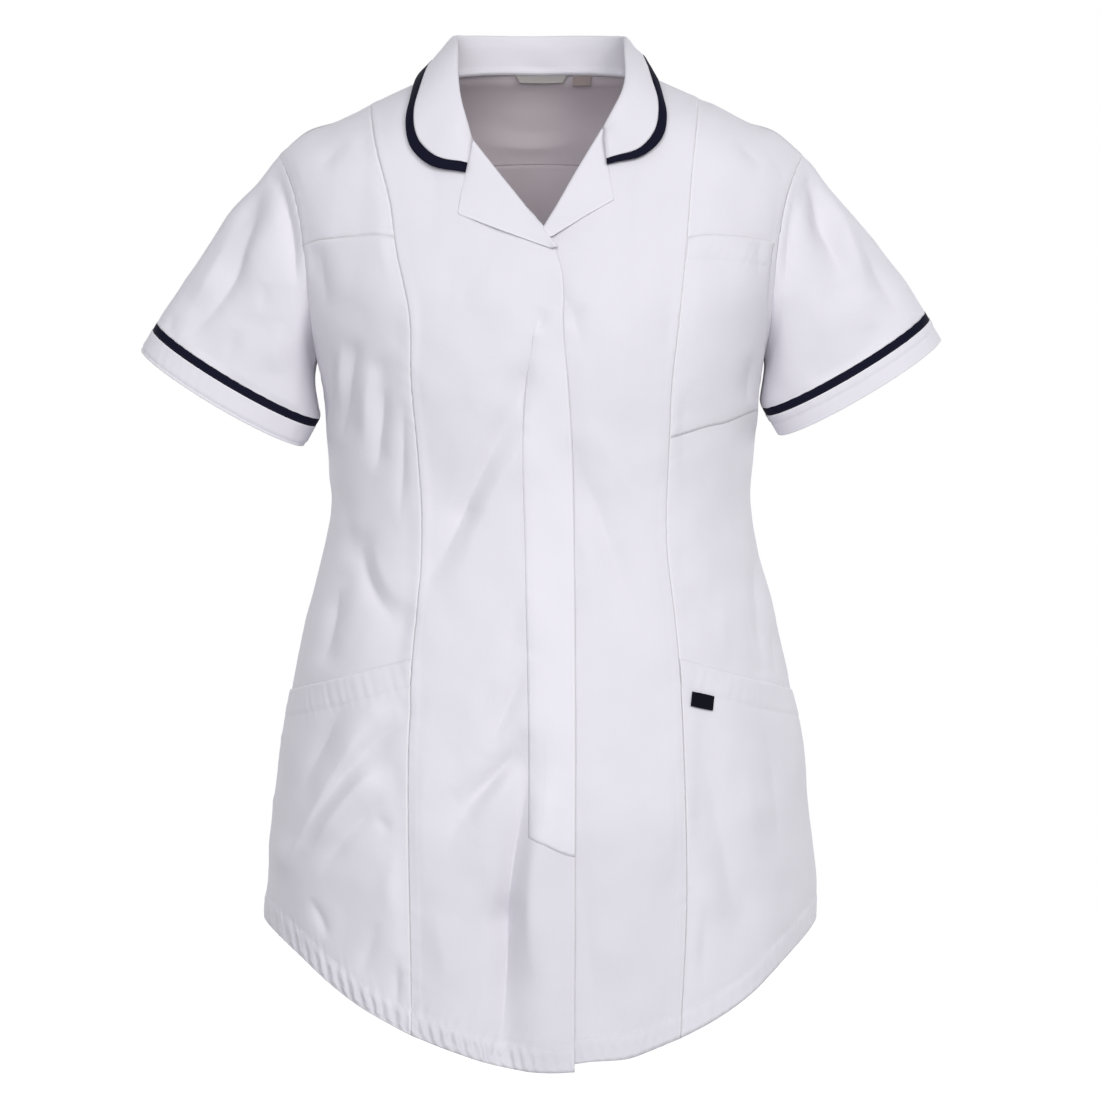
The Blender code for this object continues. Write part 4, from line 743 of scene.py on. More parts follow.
def cuff_ring(side, share, up):
    """Points round the sleeve at a distance above the cuff's hem. Share 0 is the underarm."""
    lift = CUFF_LIFT if side > 0 else 0.0
    inner, outer = (np.array([side * x, 0.0, z + lift]) for x, z in (CUFF_INNER, CUFF_OUTER))
    angle = math.pi * (1 - 2 * share)[..., None]
    ring = (inner + outer) / 2 + (outer - inner) / 2 * np.cos(angle)
    ring = ring + np.array([0, -CUFF_HALF_DEPTH, 0]) * np.sin(angle)
    return ring + cuff_axis(side) * (CUFF_BOW * np.sin(angle) - up)


def ring_out(ring, side):
    """Directions out of a closed ring of points round the arm."""
    along = np.roll(ring[:-1], -1, axis=0) - np.roll(ring[:-1], 1, axis=0)
    out = facing(unit(np.cross(along, cuff_axis(side))), ring[:-1] - ring[:-1].mean(axis=0))
    return np.concatenate([out, out[:1]])


def ring_shares(loop):
    """Shares of the way round a sleeve, its shoulder tip at one half."""
    way = way_along(loop)
    tip = int(np.argmax(loop[:, 2]))
    second = 0.5 + 0.5 * (way[tip + 1:] - way[tip]) / (way[-1] - way[tip])
    return np.concatenate([0.5 * way[:tip + 1] / way[tip], second])


def sleeve_grid(side, loop):
    """Points of a sleeve from the armhole loop, its first row, down to its lower seam."""
    share = ring_shares(loop)
    end = cuff_ring(side, share, BAND_WIDTH + TRIM_WIDTH)
    high = np.sin(math.pi * share)[:, None]
    tip, under = (np.array([side * x, 0.0, z]) for x, z in (TIP_HEADING, UNDERARM_HEADING))
    heading = unit(tip * high + under * (1 - high))
    reach = np.linalg.norm(end - loop, axis=1, keepdims=True)
    landing = reach * (UNDERARM_EASE + (1 - UNDERARM_EASE) * high)
    t = np.linspace(0, 1, SLEEVE_ROWS + 1)[:, None, None]
    start_part = (1 + 2 * t) * (1 - t) ** 2 * loop + t * (1 - t) ** 2 * reach * heading
    end_part = t * t * (3 - 2 * t) * end + t * t * (t - 1) * landing * cuff_axis(side)
    return start_part + end_part


def grid_out(grid):
    """Directions out of a tube of points whose rows are rings."""
    along = np.empty_like(grid)
    along[:, 1:-1] = grid[:, 2:] - grid[:, :-2]
    along[:, 0] = along[:, -1] = grid[:, 1] - grid[:, -2]
    out = unit(np.cross(along, np.gradient(grid, axis=0)))
    return facing(out, grid - grid[:, :-1].mean(axis=1, keepdims=True))


def neck_side(points, out):
    """Directions in the cloth that lead off its cut edge, into the neck opening."""
    return unit(np.cross(np.gradient(points, axis=0), out))


def collar_half(side, share):
    """Rises of the crest, and edge points with their directions, along the half neck."""
    rows = []
    for at, crest, edge, face in COLLAR:
        x = side * edge[0] + COLLAR_MIDDLE
        tilt = COLLAR_TILT[1] * x * np.clip(1 - at / COLLAR_TILT[0], 0, 1)
        rows.append((at, side * crest[0], *crest[1:], x, face * drop_of(x, edge[1] + tilt)))
    rows = np.array(rows)
    *crest, x, drop = (smooth(share, rows[:, [0, number]]) for number in range(1, 6))
    z = smooth(np.abs(x), RIDGE) - fall_of(np.abs(drop))
    turn = np.where(drop <= 0, turn_of(x, z), turn_of(x, z, back=True))
    at = np.stack([turn, np.abs(drop)], axis=-1)
    return np.stack(crest, axis=-1), plain_body(at), body_out(at)


def eased(marks):
    """A path with its corners cut three times over, so that it bends smoothly."""
    for _ in range(3):
        near = marks[:-1] * 0.75 + marks[1:] * 0.25
        far = marks[:-1] * 0.25 + marks[1:] * 0.75
        between = np.stack([near, far], axis=1).reshape(-1, 2)
        marks = np.concatenate([marks[:1], between, marks[-1:]])
    return marks


def crease_height(flat, creases):
    """Height of listed creases at (x, z) points, each tapering to its ends."""
    total = np.zeros(flat.shape[:-1])
    for height, half, crisp, *path in creases:
        marks = eased(np.reshape(metres(path), (-1, 2)))
        starts = way_along(marks)
        nearest = np.full(flat.shape[:-1], np.inf)
        along = np.zeros(flat.shape[:-1])
        for mark, run, start in zip(marks, np.diff(marks, axis=0), starts):
            length = np.linalg.norm(run)
            share = np.clip((flat - mark) @ run / length ** 2, 0, 1)
            distance = np.linalg.norm(flat - mark - share[..., None] * run, axis=-1)
            closer = distance < nearest
            nearest = np.where(closer, distance, nearest)
            along = np.where(closer, start + share * length, along)
        fade = np.sin(math.pi * np.clip(along / starts[-1], 0, 1)) ** 1.1
        spread_out = bell(nearest, CREASE_SPREAD * metres(half), 0.45 + 0.55 * crisp)
        total += metres(height) * fade * spread_out
    return total


def ripple(along, period, start):
    """An uneven wave along a seam, between about -1 and 1."""
    turn = 2 * math.pi * along / period
    return (np.sin(turn + start) + 0.6 * np.sin(turn / 1.37 + 2.1 * start)
            + 0.45 * np.sin(turn / 0.71 + 3.7 * start)) / 1.6


def unevenness(flat, height, start=0.0):
    """The slight unevenness of hanging cloth at (x, z) points."""
    total = np.zeros(flat.shape[:-1])
    for number, (length, lean) in enumerate(((0.110, 0.3), (0.083, 1.1), (0.061, 2.2), (0.047, 2.8),
                                             (0.036, 0.8), (0.027, 1.9), (0.021, 1.4))):
        way = flat @ np.array([math.cos(lean), 0.55 * math.sin(lean)])
        bend = 0.6 * np.sin(flat @ np.array([31.0, 17.0 + 5 * number]) + start + number)
        wave = np.sin(2 * math.pi * way / length + bend + start * (number + 1) + number)
        total += length * np.arcsin(0.97 * wave) / HALF_PI
    return height * total / 0.2


def creased(points, creases, height, start=0.0):
    """Heights of creases and of the cloth's unevenness, before the strength that is set."""
    flat = points[..., [0, 2]]
    return crease_height(flat, creases) + unevenness(flat, height, start)


def edge_ways(points):
    """Ways along the cloth from a grid's first row, last row, first column and last column."""
    up, over = (np.linalg.norm(np.diff(points, axis=axis), axis=-1) for axis in (0, 1))
    bottom = np.concatenate([np.zeros((1, up.shape[1])), np.cumsum(up, axis=0)])
    first = np.concatenate([np.zeros((len(over), 1)), np.cumsum(over, axis=1)], axis=1)
    return {"bottom": bottom, "top": bottom[-1:] - bottom, "first": first,
            "last": first[:, -1:] - first}


def step_over(way, width):
    """One up to a way along the cloth, then falling to nothing over a short slope."""
    return 1 - soft_step((way - width) / EDGE_SLOPE + 0.5)


def seam_relief(ways, edge, pucker, period, start, allowance=0.0):
    """A seam's groove, its small puckers and its turned edges under the cloth."""
    way, along = ways[edge], ways["bottom" if edge in ("first", "last") else "first"]
    wave = ripple(along + 0.3 * way, period, start) * ripple(along, 0.061, start + 1.0)
    return (allowance * step_over(way, ALLOWANCE) - SEAM_GROOVE * bell(way, SEAM_HALF)
            + pucker * wave * bell(way, PUCKER_REACH, 1.4))


def hem_relief(way, along, pucker, width, start):
    """A turned hem: thicker below its stitches, drawn into slanting puckers by them."""
    raised = HEM_RAISE * step_over(way, width) - HEM_GROOVE * bell(way - width, HEM_GROOVE_HALF)
    wave = ripple(along + 0.35 * way, 0.0086, start)
    below = 0.35 + 0.65 * bell(way - width, 0.75 * width)
    beyond = np.exp(-np.maximum(way - width, 0) / 0.006)
    return raised + pucker * wave * np.where(way < width, below, beyond)


def front_hem(ways, points, side, start):
    """A front's hem, whose puckers are strongest on the wearer's right."""
    pucker = 0.00016 + 0.00042 / (1 + np.exp((points[..., 0] + 0.01) / 0.02))
    return hem_relief(ways["bottom"], ways["first"] * side, pucker, HEM_BAND, start)


def calmed(*ways):
    """Nothing at edges, rising smoothly to one a little way in from them all."""
    return math.prod(soft_step(way / CALM) for way in ways)


class Cloth:
    """A fine grid of cloth: points of its inner face, the directions out, and its ways."""

    def __init__(self, points, out):
        self.points = points
        self.out = out
        self.ways = edge_ways(points)

    def raised(self, height):
        """The same cloth with its points moved out by heights."""
        return Cloth(self.points + self.out * np.asarray(height)[..., None], self.out)

    def part(self, rows=slice(None), cells=slice(None)):
        """Some rows and columns of the cloth."""
        return Cloth(self.points[rows, cells], self.out[rows, cells])

    def taken(self, spots, axis=0):
        """The cloth taken again at spots that may lie between its own rows, or its columns."""
        lines = spots.swapaxes(0, 1 - axis)
        points, out = (np.array([split_at(line, spot) for line, spot
                                 in zip(grid.swapaxes(0, 1 - axis), lines)]).swapaxes(0, 1 - axis)
                       for grid in (self.points, self.out))
        return Cloth(points, unit(out))

    def drawn_in(self, **edges):
        """The cloth with edges drawn in along itself, by an amount for each edge."""
        points = self.points.copy()
        for name, amount in edges.items():
            lines = points if name in ("bottom", "top") else points.swapaxes(0, 1)
            edge, near = (-1, -2) if name in ("top", "last") else (0, 1)
            run = lines[near] - lines[edge]
            length = np.linalg.norm(run, axis=-1, keepdims=True)
            lines[edge] += unit(run) * np.minimum(amount, length * 0.8)
        return Cloth(points, self.out)

    def line(self, edge, distance):
        """Points and directions on the line at a distance along the cloth from an edge."""
        grids = [self.ways[edge], self.points, self.out]
        if edge in ("bottom", "top"):
            grids = [grid.swapaxes(0, 1) for grid in grids]
        if edge in ("last", "top"):
            grids = [grid[:, ::-1] for grid in grids]
        spots = [np.interp(distance, way, np.arange(len(way))) for way in grids[0]]
        points, out = (np.array([split_at(row, [spot])[0] for row, spot in zip(grid, spots)])
                       for grid in grids[1:])
        return points, unit(out)


def sizes():
    """The sizes that are set for the cloth and its sewing."""
    return bpy.context.scene.tunic_sizes


def creased_panel(places, creases, uneven, start, edges=("first", "last", "top")):
    """Cloth on the body, and the heights of its creases, which are calm near some edges."""
    cloth = Cloth(*body(places))
    calm = calmed(*(cloth.ways[edge] for edge in edges))
    return cloth, creased(cloth.points, creases, uneven, start) * calm


@functools.lru_cache(maxsize=None)
def centre_cloth(side):
    """A centre front, with its folds, creases, princess seam and hem."""
    places, inside = centre_front(side)
    points, out = body(places)
    cloth = Cloth(points - out * inside[..., None], out)
    ways = cloth.ways
    drop = ways["top"].copy()
    for _ in range(TOP_STEPS):
        even(drop)
    height = sizes().crease * creased(points, FRONT_CREASES, 0.00085)
    height = height * np.clip(drop / TOP_CALM, 0, 1) * calmed(ways["first"])
    height += seam_relief(ways, "first", 0.00034, 0.0125, 1.0 + side, 0.00030)
    height += front_hem(ways, points, side, 0.4)
    if side < 0:
        height += 0.0004 * ripple(ways["bottom"], 0.085, 0.7) * bell(ways["last"], 0.012)
    return cloth.raised(height)


@functools.lru_cache(maxsize=None)
def side_cloth(side):
    """A side front, from the hem to the shoulder, with its folds, creases, seams and hem."""
    cloth, height = creased_panel(evened(side_front(side)), SIDE_CREASES, 0.00110, 1.3)
    ways = cloth.ways
    height = sizes().crease * height + seam_relief(ways, "first", 0.00034, 0.0125, 2.0 + side)
    height += front_hem(ways, cloth.points, side, 1.4)
    height += seam_relief(ways, "last", 0.00030, 0.0135, 4.0, 0.00034)
    return cloth.raised(height)


@functools.lru_cache(maxsize=None)
def back_cloth():
    """The back, with its folds, creases, side seams, yoke seam and hem."""
    cloth, height = creased_panel(evened(back_places()), BACK_CREASES, 0.00100, 2.4)
    ways = cloth.ways
    height = sizes().crease * height + seam_relief(ways, "first", 0.00030, 0.0135, 5.0)
    height += seam_relief(ways, "last", 0.00030, 0.0135, 6.0)
    height += seam_relief(ways, "top", 0.00030, 0.0120, 7.0, 0.00030)
    height += hem_relief(ways["bottom"], ways["first"], 0.00030, HEM_BAND, 2.4)
    return cloth.raised(height)


@functools.lru_cache(maxsize=None)
def yoke_cloth():
    """The back yoke, from its seam to the shoulders and the neck."""
    edges = ("bottom", "top", "first", "last")
    cloth, height = creased_panel(yoke_places(), YOKE_CREASES, 0.0006, 3.0, edges)
    return cloth.raised(height + seam_relief(cloth.ways, "bottom", 0.00030, 0.0120, 7.0))


@functools.lru_cache(maxsize=None)
def sleeve_cloth(side):
    """A sleeve from its armhole down to its trim, and the shares of the way round it."""
    edge = 0 if side < 0 else -1
    front = body(side_front(side)[rows_below("underarm"):, -1])[0]
    behind = body(back_places()[rows_below("underarm", BACK_LEVELS):, edge])[0]
    yoke = body(yoke_places()[1:, edge])[0]
    loop = chain(front, np.concatenate([behind, yoke])[::-1])
    grid = sleeve_grid(side, loop)
    depth = np.abs(grid[..., 1])
    fade = np.sin(math.pi * np.linspace(0, 1, len(grid)))[:, None]
    fade = fade * np.clip(depth / SLEEVE_FOLD_FADE, 0, 1)
    folds = fold_height(grid, SLEEVE_FOLDS_RIGHT if side < 0 else SLEEVE_FOLDS_LEFT)
    grid = grid + grid_out(grid) * (folds * fade)[..., None]
    cloth = Cloth(grid, grid_out(grid))
    ways, flat = cloth.ways, grid[..., [0, 2]]
    fade = np.clip(np.abs(grid[..., 1]) / 0.016, 0, 1)
    height = crease_height(flat, SLEEVE_CREASES_RIGHT if side < 0 else SLEEVE_CREASES_LEFT)
    height = height * fade * np.where(grid[..., 1] > 0, 0.75, 1.0)
    calm = np.clip(ways["bottom"] / 0.015, 0, 1) * np.clip(ways["top"] / 0.006, 0, 1)
    height = sizes().crease * (height + unevenness(flat, 0.0012, 4.0 + side)) * calm
    height += seam_relief(ways, "bottom", 0.00040, 0.0115, 3.0 + side)
    height -= 0.0010 * calm * bell(ways["bottom"] - 0.010, 0.008) * fade
    height += 0.00022 * ripple(ways["first"], 0.011, side) * bell(ways["top"], 0.006)
    return cloth.raised(height), ring_shares(loop)


@functools.lru_cache(maxsize=None)
def neck_edge():
    """Points, outward directions and directions into the opening, round the neck seam."""
    part = slice(SHOULDER_CELLS, SHOULDER_CELLS + NECK_CELLS + 1)
    lines = []
    for side, _ in SIDES:
        places, inside = (grid[-1, part] for grid in centre_front(side))
        points, out = body(places)
        lines.append((points - out * inside[:, None], out))
    yoke = body(yoke_places()[-1, SHOULDER_END:-SHOULDER_END])
    neck, out = (chain(right[::-1], back, left)
                 for right, back, left in zip(lines[0], yoke, lines[1]))
    out = unit(out)
    off = neck_side(neck, out)
    away = np.sum(off * (neck.mean(axis=0) - neck), axis=1, keepdims=True)
    return neck, out, np.where(away < 0, -off, off)


def face_of(grid, last_out):
    """Directions out of a grid, given those that its last column faces along on the whole."""
    out = unit(np.cross(np.gradient(grid, axis=1), np.gradient(grid, axis=0)))
    return -out if np.sum(out[:, -1] * last_out) < 0 else out


def collar_grid():
    """Points of the collar from the neck seam over its crest to its edge, and its edge's out."""
    neck, neck_out, off = neck_edge()
    way = way_along(neck) / way_along(neck)[-1]
    halves = collar_half(-1, way[way <= 0.5] * 2), collar_half(1, (1 - way[way > 0.5]) * 2)
    crest, edge, edge_out = (np.concatenate(parts) for parts in zip(*halves))
    crest = neck + crest
    edge = edge + edge_out * (WALL + FALL_CLEARANCE)
    foot = neck + off * COLLAR_AIR
    rim = foot + neck_out * WALL * RIM_WALLS
    length = np.linalg.norm(edge - crest, axis=1, keepdims=True)
    turn = crest + (edge - crest) * FALL_START + unit(neck_out + edge_out) * length * FALL_ROUND
    land = edge + edge_out * FALL_LIFT * length / length.max() + (crest - edge) * FALL_LANDING
    t = np.linspace(0, 1, STAND_CELLS + 1)[1:, None, None]
    stand = rim + (crest - rim) * t
    t = np.linspace(0, 1, FALL_CELLS + 1)[1:, None, None]
    fall = ((1 - t) ** 3 * crest + 3 * t * (1 - t) ** 2 * turn
            + 3 * t * t * (1 - t) * land + t ** 3 * edge)
    return np.concatenate([foot[None], stand, fall]).transpose(1, 0, 2), edge_out


@functools.lru_cache(maxsize=None)
def collar_cloth():
    """The collar, evened out over its crest and along the back of the neck."""
    grid, edge_out = collar_grid()
    for _ in range(CREST_STEPS):
        even(grid[:, 2:STAND_CELLS + 6])
    share = np.linspace(0, 1, len(grid))[:, None, None]
    from_end = np.minimum(share, 1 - share)
    across = np.clip((np.arange(grid.shape[1]) - 1) / 6, 0, 1)[None, :, None]
    amount = across * np.clip((from_end - 0.24) / 0.12, 0, 1)
    for _ in range(COLLAR_STEPS):
        middle = (grid[:-2] + 2 * grid[1:-1] + grid[2:]) / 4
        grid[1:-1] += (middle - grid[1:-1]) * amount[1:-1]
    rise = COLLAR_RISE * soft_step((from_end - 0.12) / 0.16) * across
    grid[:, :, 2] += rise[:, :, 0]
    cloth = Cloth(grid, face_of(grid, edge_out))
    ways = cloth.ways
    stand = np.clip(1 - np.arange(grid.shape[1]) / (STAND_CELLS + 3), 0, 1)[None, :]
    height = 0.0007 * ripple(ways["bottom"] + 0.8 * ways["first"], 0.062, 1.2) * stand
    height = height + 0.00045 * ripple(ways["bottom"], 0.090, 2.0) * (1 - stand)
    height *= np.clip(ways["first"] / 0.004, 0, 1) * np.clip(ways["last"] / 0.010, 0.3, 1)
    return cloth.raised(height)


def settled(way):
    """How a sewn-down edge sinks to the face of the cloth that it lies on."""
    return -(sizes().wall + LAID) * bell(way, SETTLE)


def gaping(cloth, stands, reach):
    """A pocket laid on its panel, with a mouth that stands off it, most at its middle."""
    share = cloth.ways["first"] / cloth.ways["first"][:, -1:]
    gape = stands * np.sin(math.pi * share) ** 0.5 * bell(cloth.ways["top"], reach)
    return cloth.raised(sizes().wall + LAID + gape)


@functools.lru_cache(maxsize=None)
def hip_pocket_cloth(side):
    """A hip pocket, on the side front from the hem to a slanted mouth that stands off a little."""
    mouth = rows_below("hip pocket mouth")
    whole = side_cloth(side)
    x, z = np.abs(whole.points[..., 0]), whole.points[..., 2]
    slant = np.interp(x[mouth], x[mouth, [0, -1]], z[mouth, [0, -1]])
    tops = [np.interp(top, column, np.arange(len(column))) for top, column in zip(slant, z.T)]
    panel = whole.taken(np.linspace(0, 1, mouth + 1)[:, None] * np.array(tops))
    cloth = gaping(panel, MOUTH_STANDS, 0.030)
    pucker = 0.00036 if side < 0 else 0.00018
    band = hem_relief(cloth.ways["top"], cloth.ways["first"], pucker, MOUTH_BAND, 3.3 + side)
    cloth = cloth.raised(np.maximum(band, -MOUTH_DIP))
    return cloth.drawn_in(bottom=PATCH_INSET, first=PATCH_INSET, last=PATCH_INSET)


@functools.lru_cache(maxsize=None)
def chest_pocket_cloth():
    """The chest pocket, on the wearer's left side front."""
    foot, head = rows_below("chest pocket foot"), rows_below("chest pocket mouth")
    panel = side_cloth(1).part(slice(foot, head + 1))
    rows, columns = panel.points.shape[:2]
    width = panel.ways["first"][:, -1:]
    inset = np.linspace(*CHEST_POCKET_INSET, rows)[:, None] + POCKET_INSET
    spots = np.linspace(0, 1, columns) * (1 - inset / width) + POCKET_INSET / width
    cloth = gaping(panel.taken(spots * (columns - 1), axis=1), CHEST_STANDS, 0.020).raised(LAID)
    ways = cloth.ways
    edges = np.minimum(np.minimum(ways["first"], ways["last"]), ways["bottom"])
    band = hem_relief(ways["top"], ways["first"], 0.00012, CHEST_BAND, 5.1)
    band = band - 0.00015 * bell(edges - POCKET_STITCH, 0.0008)
    return cloth.raised(np.maximum(band, -STITCH_DIP) + settled(edges))


@functools.lru_cache(maxsize=None)
def placket_cloth():
    """The fastening's strip along the right front's edge, with its slanted foot."""
    rows = slice(PLACKET_FOOT_ROW, PLACKET_HEAD_ROW + 1)
    panel = centre_cloth(-1).part(rows, slice(CENTRE_CELLS, None))
    rows, columns = panel.points.shape[:2]
    foot = PLACKET_SLANT * (1 - np.linspace(0, 1, columns)) ** 1.5
    cloth = panel.taken(foot + (1 - foot / (rows - 1)) * np.arange(rows)[:, None])
    wall = sizes().wall
    sunk = (wall + 4 * LAID) * bell(cloth.ways["top"], 0.014)
    cloth = cloth.raised(wall + 2 * LAID - sunk)
    ways = cloth.ways
    height = 0.00022 * ripple(ways["bottom"], 0.017, 1.0) * bell(ways["first"], 0.006)
    height = height - 0.0003 * bell(ways["first"] - POCKET_STITCH, 0.0009)
    sunk = settled(np.minimum(ways["first"], ways["bottom"])) * 0.80
    cloth = cloth.raised(np.maximum(height, -STITCH_DIP) + sunk)
    return cloth.drawn_in(first=PATCH_INSET, last=PATCH_INSET)


def lapel_cloth(side):
    """A lapel that rolls over the front's fold and lies back on the front."""
    cells = ROLL_CELLS + LAP_CELLS if side < 0 else LAPEL_LEFT_CELLS
    start = SHOULDER_CELLS + NECK_CELLS
    places, inside = (grid[-1, start:start + cells + 1] for grid in centre_front(side))
    inside = inside[:, None]
    points, out = body(places)
    points = points - out * inside
    off = neck_side(points, out)
    off = np.where((off @ np.array([-side, 0.0, 0.5]))[:, None] < 0, -off, off)
    marks = np.array(LAPEL_RIGHT if side < 0 else LAPEL_LEFT)
    share = np.linspace(0, 1, cells + 1)
    at = way_along(marks) / way_along(marks)[-1]
    outer = place_of(*(np.interp(share, at, column) for column in marks.T))
    stand = LAPEL_STANDS * np.sin(math.pi * np.clip(share * 1.25, 0, 1))[:, None]
    lying = sizes().wall + GAP + LAPEL_AIR
    grid = []
    for angle in np.linspace(-0.35, 0.5, LAPEL_ROLL + 1)[:-1] * math.pi:
        bend = off * math.cos(angle) * 0.7 + out * math.sin(angle)
        grid.append(points + (out + bend) * (lying + LAPEL_PUFF) / 2)
    for t in np.linspace(0, 1, LAPEL_CELLS + 1)[1:]:
        spots = places * (1 - t) + outer * t
        lift = lying + LAPEL_PUFF * (1 - t) ** 1.2 + stand * t ** 2 - inside * (1 - t)
        grid.append(plain_body(spots) + body_out(spots) * lift)
    grid = np.array(grid).transpose(1, 0, 2)
    cloth = Cloth(grid, face_of(grid, out))
    ways = cloth.ways
    wave = 0.0004 * ripple(ways["bottom"] + ways["first"], 0.055, 2.0 + side)
    cloth = cloth.raised(wave * np.clip(ways["first"] / 0.008, 0, 1))
    return cloth.drawn_in(bottom=LAPEL_AIR)


def mesh_of(name, bm):
    """The mesh that bmesh built, under a name."""
    mesh = bpy.data.meshes.new(name)
    bm.to_mesh(mesh)
    bm.free()
    return mesh


def make_cloth(name, cloth, look, wall, tube=False, inside=None):
    """A thin shell on a grid of cloth, made a mesh and given its thickness outward."""
    points = cloth.points
    rows, cells = points.shape[:2]
    row, cell = rows // 2, cells // 2
    face = np.cross(points[row, min(cell + 1, cells - 1)] - points[row, cell - 1],
                    points[min(row + 1, rows - 1), cell] - points[row - 1, cell])
    bm = bmesh.new()
    bmesh.ops.create_grid(bm, x_segments=cells - 1, y_segments=rows - 1, size=0.5)
    mesh = mesh_of(name, bm)
    flat = np.empty(len(mesh.vertices) * 3)
    mesh.vertices.foreach_get("co", flat)
    flat = flat.reshape(-1, 3) + 0.5
    across = np.rint(flat[:, 0] * (cells - 1)).astype(int)
    up = np.rint(flat[:, 1] * (rows - 1)).astype(int)
    if np.dot(face, cloth.out[row, cell]) < 0:
        across = cells - 1 - across
    mesh.vertices.foreach_set("co", points[up, across].ravel())
    corners = np.empty(len(mesh.loops), dtype=np.int32)
    mesh.loops.foreach_get("vertex_index", corners)
    for layer, edges in (("weave", ("first", "bottom")), ("far edges", ("last", "top"))):
        spot = np.stack([cloth.ways[edge][up, across] for edge in edges], axis=-1)
        mesh.uv_layers.new(name=layer).data.foreach_set("uv", spot[corners].ravel())
    if tube:
        bm = bmesh.new()
        bm.from_mesh(mesh)
        bmesh.ops.remove_doubles(bm, verts=bm.verts[:], dist=1e-5)
        bm.to_mesh(mesh)
        bm.free()
    piece = finish_piece(mesh, look, inside)
    shell_wall = piece.modifiers.new("wall", "SOLIDIFY")
    shell_wall.thickness = wall
    shell_wall.offset = 1.0
    shell_wall.use_even_offset = False
    shell_wall.material_offset = 1
    return piece


def finish_piece(mesh, look, inside=None):
    """An object for a mesh, with the look of each face of the cloth and its body."""
    mesh.shade_smooth()
    mesh.materials.append(look_of(look))
    mesh.materials.append(look_of(inside or look))
    piece = bpy.data.objects.new(mesh.name, mesh)
    bpy.context.scene.collection.objects.link(piece)
    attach(piece, "root")
    return piece


def shell(name, cloth, look="cloth", wall=None, tube=False, inside=None):
    """A shell of cloth that stands for the solid of the same name."""
    wall = wall or sizes().wall
    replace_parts(make_cloth(name + "_cloth", cloth, look, wall, tube, inside), name)


def sew(name, *rows, look="thread", slot="white cloth"):
    """Rows of short stitches on a piece: each a cloth, an edge and the distance from it."""
    stitch, thread = sizes().stitch, sizes().thread
    size = Matrix.Diagonal((stitch / 2, thread, thread * 0.6, 1.0))
    bm = bmesh.new()
    for cloth, edge, distance in rows:
        points, out = cloth.line(edge, distance)
        points = points + out * sizes().wall
        way = way_along(points)
        count = int(way[-1] / (stitch + sizes().stitch_gap))
        middles = (np.arange(count) + 0.5) * way[-1] / max(count, 1)
        spots = np.interp(middles, way, np.arange(len(way)))
        ahead = split_at(points, np.minimum(spots + 0.3, len(way) - 1))
        behind = split_at(points, np.maximum(spots - 0.3, 0))
        run = unit(ahead - behind)
        side = unit(np.cross(unit(split_at(out, spots)), run))
        for spot, *axes in zip(split_at(points, spots), run, side, np.cross(run, side)):
            turn = Matrix(axes).transposed().to_4x4()
            bmesh.ops.create_icosphere(bm, subdivisions=1, radius=1.0,
                                       matrix=Matrix.Translation(spot) @ turn @ size)
    finish_piece(mesh_of(name + "_stitches", bm), look)


class Maths:
    """A shader value on which Python's operators add Math nodes."""

    def __init__(self, look, socket):
        self.look = look
        self.socket = socket

    def math(self, operation, *others):
        """A Math node on this value and others."""
        inputs = dict(enumerate((self, *others)))
        node = self.look.node("ShaderNodeMath", {"operation": operation}, inputs)
        return Maths(self.look, node.outputs[0])

    def __add__(self, other):
        return self.math("ADD", other)

    __radd__ = __add__

    def __sub__(self, other):
        return self.math("SUBTRACT", other)

    def __rsub__(self, other):
        return self.math("MULTIPLY", -1.0) + other

    def __mul__(self, other):
        return self.math("MULTIPLY", other)

    __rmul__ = __mul__

    def wave(self):
        """The sine of this value, between 0 and 1."""
        return self.math("SINE") * 0.5 + 0.5

    def between(self, low, high):
        """0 below low, 1 above high and smooth between."""
        settings = {"interpolation_type": "SMOOTHSTEP"}
        node = self.look.node("ShaderNodeMapRange", settings, {0: self, 1: low, 2: high})
        return Maths(self.look, node.outputs[0])


